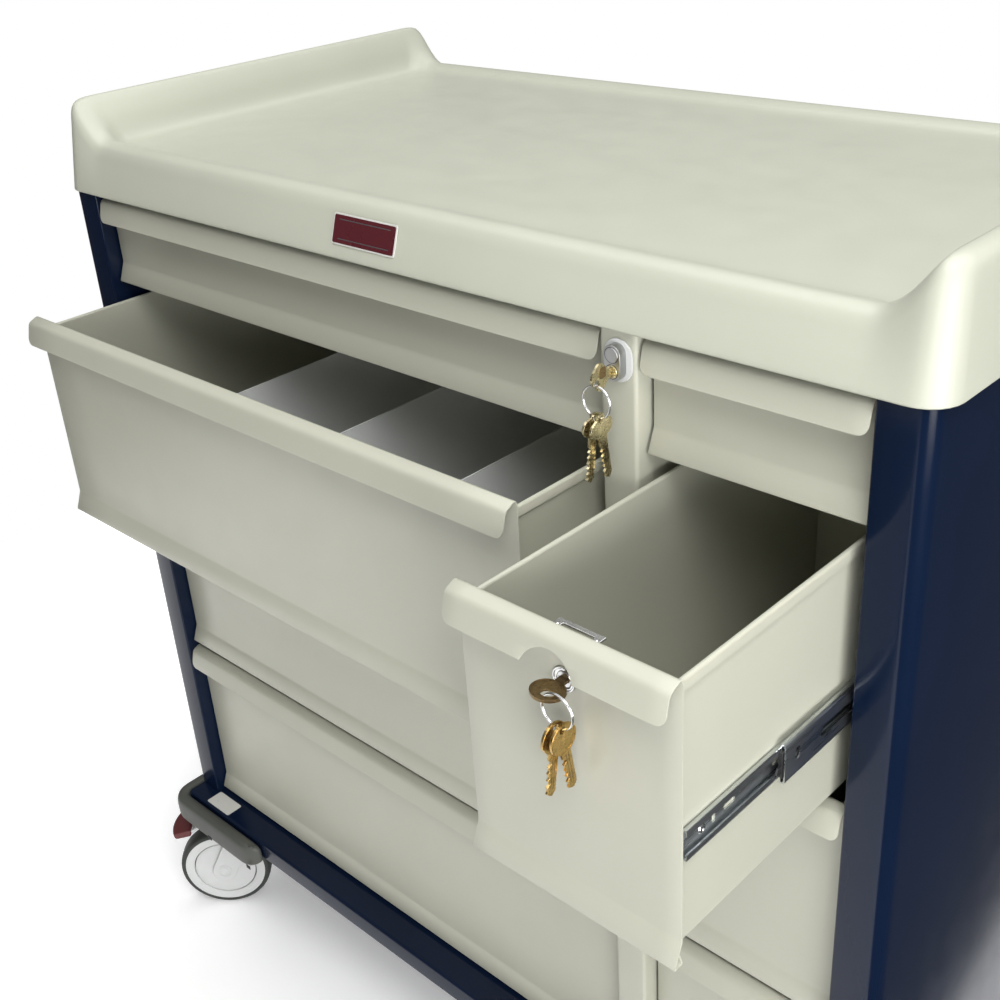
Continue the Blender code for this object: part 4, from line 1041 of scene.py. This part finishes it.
def build_main_lock():
    face = at(MAIN_X, -0.0003, MAIN_Z)
    piece("main_lock_bezel", plate(stadium(0.0268, 0.0348), 0.0018, face + TO_FRONT * 0.0009, RIGHTWARD, UP),
          "cart", WHITE_MOULDING, ("main_lock_housing",), bevel=0.0007, segments=3)
    piece("main_lock_boss", plate(stadium(0.0160, 0.0290), 0.0080, face + TO_FRONT * 0.0053, RIGHTWARD, UP),
          "cart", CAST_GREY, bevel=0.0005, segments=3)
    front = face + TO_FRONT * 0.0093
    upper = front + UP * PLUG_DROP
    lower = front - UP * PLUG_DROP
    piece("main_lock_blank_gap", ring_band(0.0061, 0.0065, 0.00006, upper, TO_FRONT), "cart", DARK_JOINT_AND_SHADE)
    piece("main_lock_blank", disc(0.0060, 0.0003, upper, TO_FRONT), "cart", CAST_GREY)
    piece("main_lock_plug_gap", ring_band(0.0054, 0.0059, 0.00006, lower, TO_FRONT), "cart", DARK_JOINT_AND_SHADE)
    plug = piece("main_key_plug", disc(0.0053, 0.0009, lower - TO_FRONT * 0.0003, TO_FRONT), "main_key",
                 PALE_BRASS)
    slot = box(lower + Vector((-0.0013, -0.0015, -0.0045)), lower + Vector((0.0013, 0.0001, 0.0045)))
    cut(plug, slot)
    plug_z = MAIN_Z - PLUG_DROP
    centre = at(MAIN_X, -0.0235, plug_z + 0.0005)
    bow = []
    for k in range(48):
        angle = 2.0 * math.pi * k / 48.0
        swell = 1.0 + 0.07 * math.cos(4.0 * angle) + 0.03 * math.cos(2.0 * angle)
        bow.append((0.0092 * swell * math.cos(angle), 0.0106 * swell * math.sin(angle)))
    across = ALONG_DEPTH
    key = piece("main_key_bow", plate(bow, KEY_THICK, centre, across, UP), "main_key", PALE_BRASS,
                ("main_lock_key",))
    hole = centre + Vector((0.0, -0.0045, -0.0040))
    cut(key, peg(0.0032, 0.004, hole, RIGHTWARD, 24))
    for side in (-1.0, 1.0):
        pad = plate(rounded_box_outline(0.0075, 0.0085, 0.0018), 0.0004,
                    centre + RIGHTWARD * (side * 0.0011) + Vector((0.0, 0.0022, 0.0032)), across, UP)
        piece("main_key_pad_" + SIDE_LETTERS[side], pad, "main_key", BRONZE, bevel=0.0001)
    piece("main_key_blade", box(at(MAIN_X - 0.0009, -0.0160, plug_z - 0.0038),
                                at(MAIN_X + 0.0009, -0.0094, plug_z + 0.0038)),
          "main_key", PALE_BRASS, bevel=0.0003)
    hang_keys("main", hole - UP * 0.0018, PALE_BRASS)


def build_drawer_lock():
    face_y = FACE_RECESS - OPENINGS["right_drawer_2"]
    centre = at(LOCK_X, face_y, LOCK_Z)
    rosette = [(0.0063, -0.0150), (0.0063, 0.0008), (0.0068, 0.0012), (0.0078, 0.0013), (0.0080, 0.0008),
               (0.0083, 0.0008), (0.0085, 0.0018), (0.0092, 0.0020), (0.0096, 0.0014), (0.0096, -0.0150)]
    piece("drawer_lock_rosette", lathe(rosette, centre, TO_FRONT, 56), "right_drawer_2", CHROME,
          ("drawer_lock_housing",), angle=50.0)
    plug = piece("drawer_key_plug", disc(0.0060, 0.0070, centre - TO_FRONT * 0.0058, TO_FRONT), "drawer_key",
                 CHROME)
    cut(plug, box(centre + Vector((-0.0046, -0.0030, -0.0013)), centre + Vector((0.0046, 0.0004, 0.0013))))
    bow_centre = centre + TO_FRONT * 0.0169
    bow = ellipse(0.0128, 0.0113, 48)
    across = ALONG_DEPTH
    key = piece("drawer_key_bow", plate(bow, 0.0016, bow_centre, RIGHTWARD, across), "drawer_key", BRONZE,
                ("drawer_lock_key",), bevel=0.0002)
    hole_centre = bow_centre + Vector((0.0022, -0.0028, 0))
    cut(key, plate(rounded_box_outline(0.0098, 0.0068, 0.0033, 8), 0.012, hole_centre, RIGHTWARD, across))
    piece("drawer_key_rim", border(bow, 0.0012, 0.0022, bow_centre, RIGHTWARD, across), "drawer_key", BRONZE)
    inner = [(u * 0.62, v * 0.62 + 0.0006) for u, v in bow]
    for side in (-1.0, 1.0):
        origin = bow_centre + UP * (side * 0.0008) + Vector((0.0006, -0.0008, 0.0))
        piece("drawer_key_ridge_" + SIDE_LETTERS[side],
              border(inner, 0.0006, 0.0004, origin, RIGHTWARD, across), "drawer_key", BRONZE)
    piece("drawer_key_blade", box(centre + Vector((-0.0040, -0.0075, -0.0009)),
                                  centre + Vector((0.0040, -0.0004, 0.0009))),
          "drawer_key", BRONZE, bevel=0.0003)
    hang_keys("drawer", bow_centre + Vector((0.0098, -0.0028, 0.0025)), BRASS)
    top = ROW_TOPS[1]
    low = at(LOCK_X - 0.0155, face_y + 0.0024, top - 0.0096)
    high = at(LOCK_X + 0.0235, face_y + 0.0148, top - 0.0080)
    guide = piece("bolt_guide_plate", box(low, high), "right_drawer_2", CHROME, ("lock_bolt_guide",),
                  bevel=0.0005)
    slot_low = at(LOCK_X - 0.0090, face_y + 0.0066, top - 0.012)
    cut(guide, box(slot_low, at(LOCK_X + 0.0170, face_y + 0.0106, top)))
    for side in (-1.0, 1.0):
        head = disc(0.0021, 0.0008, at(LOCK_X + 0.0040 + side * 0.0163, face_y + 0.0086, top - 0.0080), UP)
        piece("bolt_guide_rivet_" + SIDE_LETTERS[side], head, "right_drawer_2", CHROME)


# ---------------------------------------------------------------- small fittings

def build_fittings():
    """Bumper screws, and flat near-black patches of painted shade for the moulding notches."""
    for label, mirror_x in (("front_left", False), ("front_right", True)):
        for number, along in ((1, 0.1560), (2, 0.0700)):
            x = BASE_SIDE + along
            x = CABINET_WIDTH - x if mirror_x else x
            top = at(x, BASE_FRONT - 0.0100, BUMPER_TOP - 0.0016)
            if number == 1:
                piece(label + "_bumper_screw", disc(0.0040, 0.0011, top, UP, 0.0007), "cart", BUMPER_VINYL)
            # Painted shade: a near-black patch barely proud of the bumper face stands for the notch's
            # hollow.
            notch = box(at(x - 0.0040, BASE_FRONT - 0.0203, BUMPER_BOTTOM + 0.0035),
                        at(x + 0.0040, BASE_FRONT - 0.0192, BUMPER_BOTTOM + 0.0090))
            piece(label + "_bumper_notch_shade_" + str(number), notch, "cart", DARK_JOINT_AND_SHADE, bevel=0.0005)


build_casters()
build_main_lock()
build_drawer_lock()
build_fittings()

# ---------------------------------------------------------------- stage

# The floor ends beside the cart, so that its dark panels have dark surroundings to reflect.
FLOOR_LEFT = -1.75
FLOOR_RIGHT = 0.64
FLOOR_HALF_DEPTH = 2.6
FLOOR_THICKNESS = 0.02
WORLD_BELOW = (0.08, 0.08, 0.082, 1.0)
WORLD_ABOVE = (0.28, 0.28, 0.28, 1.0)
SOFTBOXES = (
    # name, position, target, width, height, power
    ("overhead_softbox", (0.2, 0.0, 3.2), (0.0, 0.05, 0.6), 3.6, 3.6, 84.0),
    ("high_softbox", (1.2, -0.9, 2.3), (0.2, -0.3, 0.75), 1.0, 1.0, 20.0),
    ("side_softbox", (1.9, -0.85, 0.78), (0.3, -0.1, 0.75), 1.2, 0.9, 31.0),
    ("front_softbox", (1.3, -1.6, 1.15), (0.4, -0.1, 0.95), 0.9, 0.7, 10.0),
)
CAMERA_LENS = 47.54
CAMERA_PLACE = (0.85130, -0.87274, 1.38620)
CAMERA_TURN = (1.0816461, 0.0614650, 0.7568301)


def build_stage():
    low = (FLOOR_LEFT, -FLOOR_HALF_DEPTH, -FLOOR_THICKNESS)
    floor = bpy.data.objects.new("floor", box(low, (FLOOR_RIGHT, FLOOR_HALF_DEPTH, 0.0)))
    bpy.context.scene.collection.objects.link(floor)
    floor.data.materials.append(FLOOR)
    build_world()
    for softbox in SOFTBOXES:
        add_light(*softbox)


def build_world():
    """Plain surroundings: white behind the cart, and a soft dim glow from above on it."""
    world = bpy.data.worlds.new("studio")
    bpy.context.scene.world = world
    world.use_nodes = True
    tree = world.node_tree
    background = tree.nodes["Background"]
    coordinates = tree.nodes.new("ShaderNodeTexCoord")
    split = tree.nodes.new("ShaderNodeSeparateXYZ")
    link(tree, coordinates.outputs["Generated"], split.inputs["Vector"])
    ramp = tree.nodes.new("ShaderNodeValToRGB")
    ramp.color_ramp.elements[0].position = 0.02
    ramp.color_ramp.elements[0].color = WORLD_BELOW
    ramp.color_ramp.elements[1].position = 0.75
    ramp.color_ramp.elements[1].color = WORLD_ABOVE
    link(tree, split.outputs["Z"], ramp.inputs["Fac"])
    seen = tree.nodes.new("ShaderNodeLightPath")
    pick = tree.nodes.new("ShaderNodeMix")
    pick.data_type = "RGBA"
    pick.inputs["B"].default_value = (1.0, 1.0, 1.0, 1.0)
    link(tree, seen.outputs["Is Camera Ray"], pick.inputs["Factor"])
    link(tree, ramp.outputs["Color"], pick.inputs["A"])
    link(tree, pick.outputs["Result"], background.inputs["Color"])
    background.inputs["Strength"].default_value = 1.0


def add_light(name, position, target, width, height, energy):
    data = bpy.data.lights.new(name, "AREA")
    data.shape = "RECTANGLE"
    data.size = width
    data.size_y = height
    data.energy = energy
    lamp = bpy.data.objects.new(name, data)
    bpy.context.scene.collection.objects.link(lamp)
    lamp.location = position
    aim = Vector(target) - Vector(position)
    lamp.rotation_euler = aim.to_track_quat("-Z", "Y").to_euler()


def build_camera():
    data = bpy.data.cameras.new("camera")
    camera = bpy.data.objects.new("camera", data)
    bpy.context.scene.collection.objects.link(camera)
    data.lens = CAMERA_LENS
    data.sensor_width = 36.0
    data.clip_start = 0.05
    camera.location = CAMERA_PLACE
    camera.rotation_euler = CAMERA_TURN
    bpy.context.scene.camera = camera
    bpy.context.scene.view_settings.view_transform = "Standard"


build_stage()
build_camera()
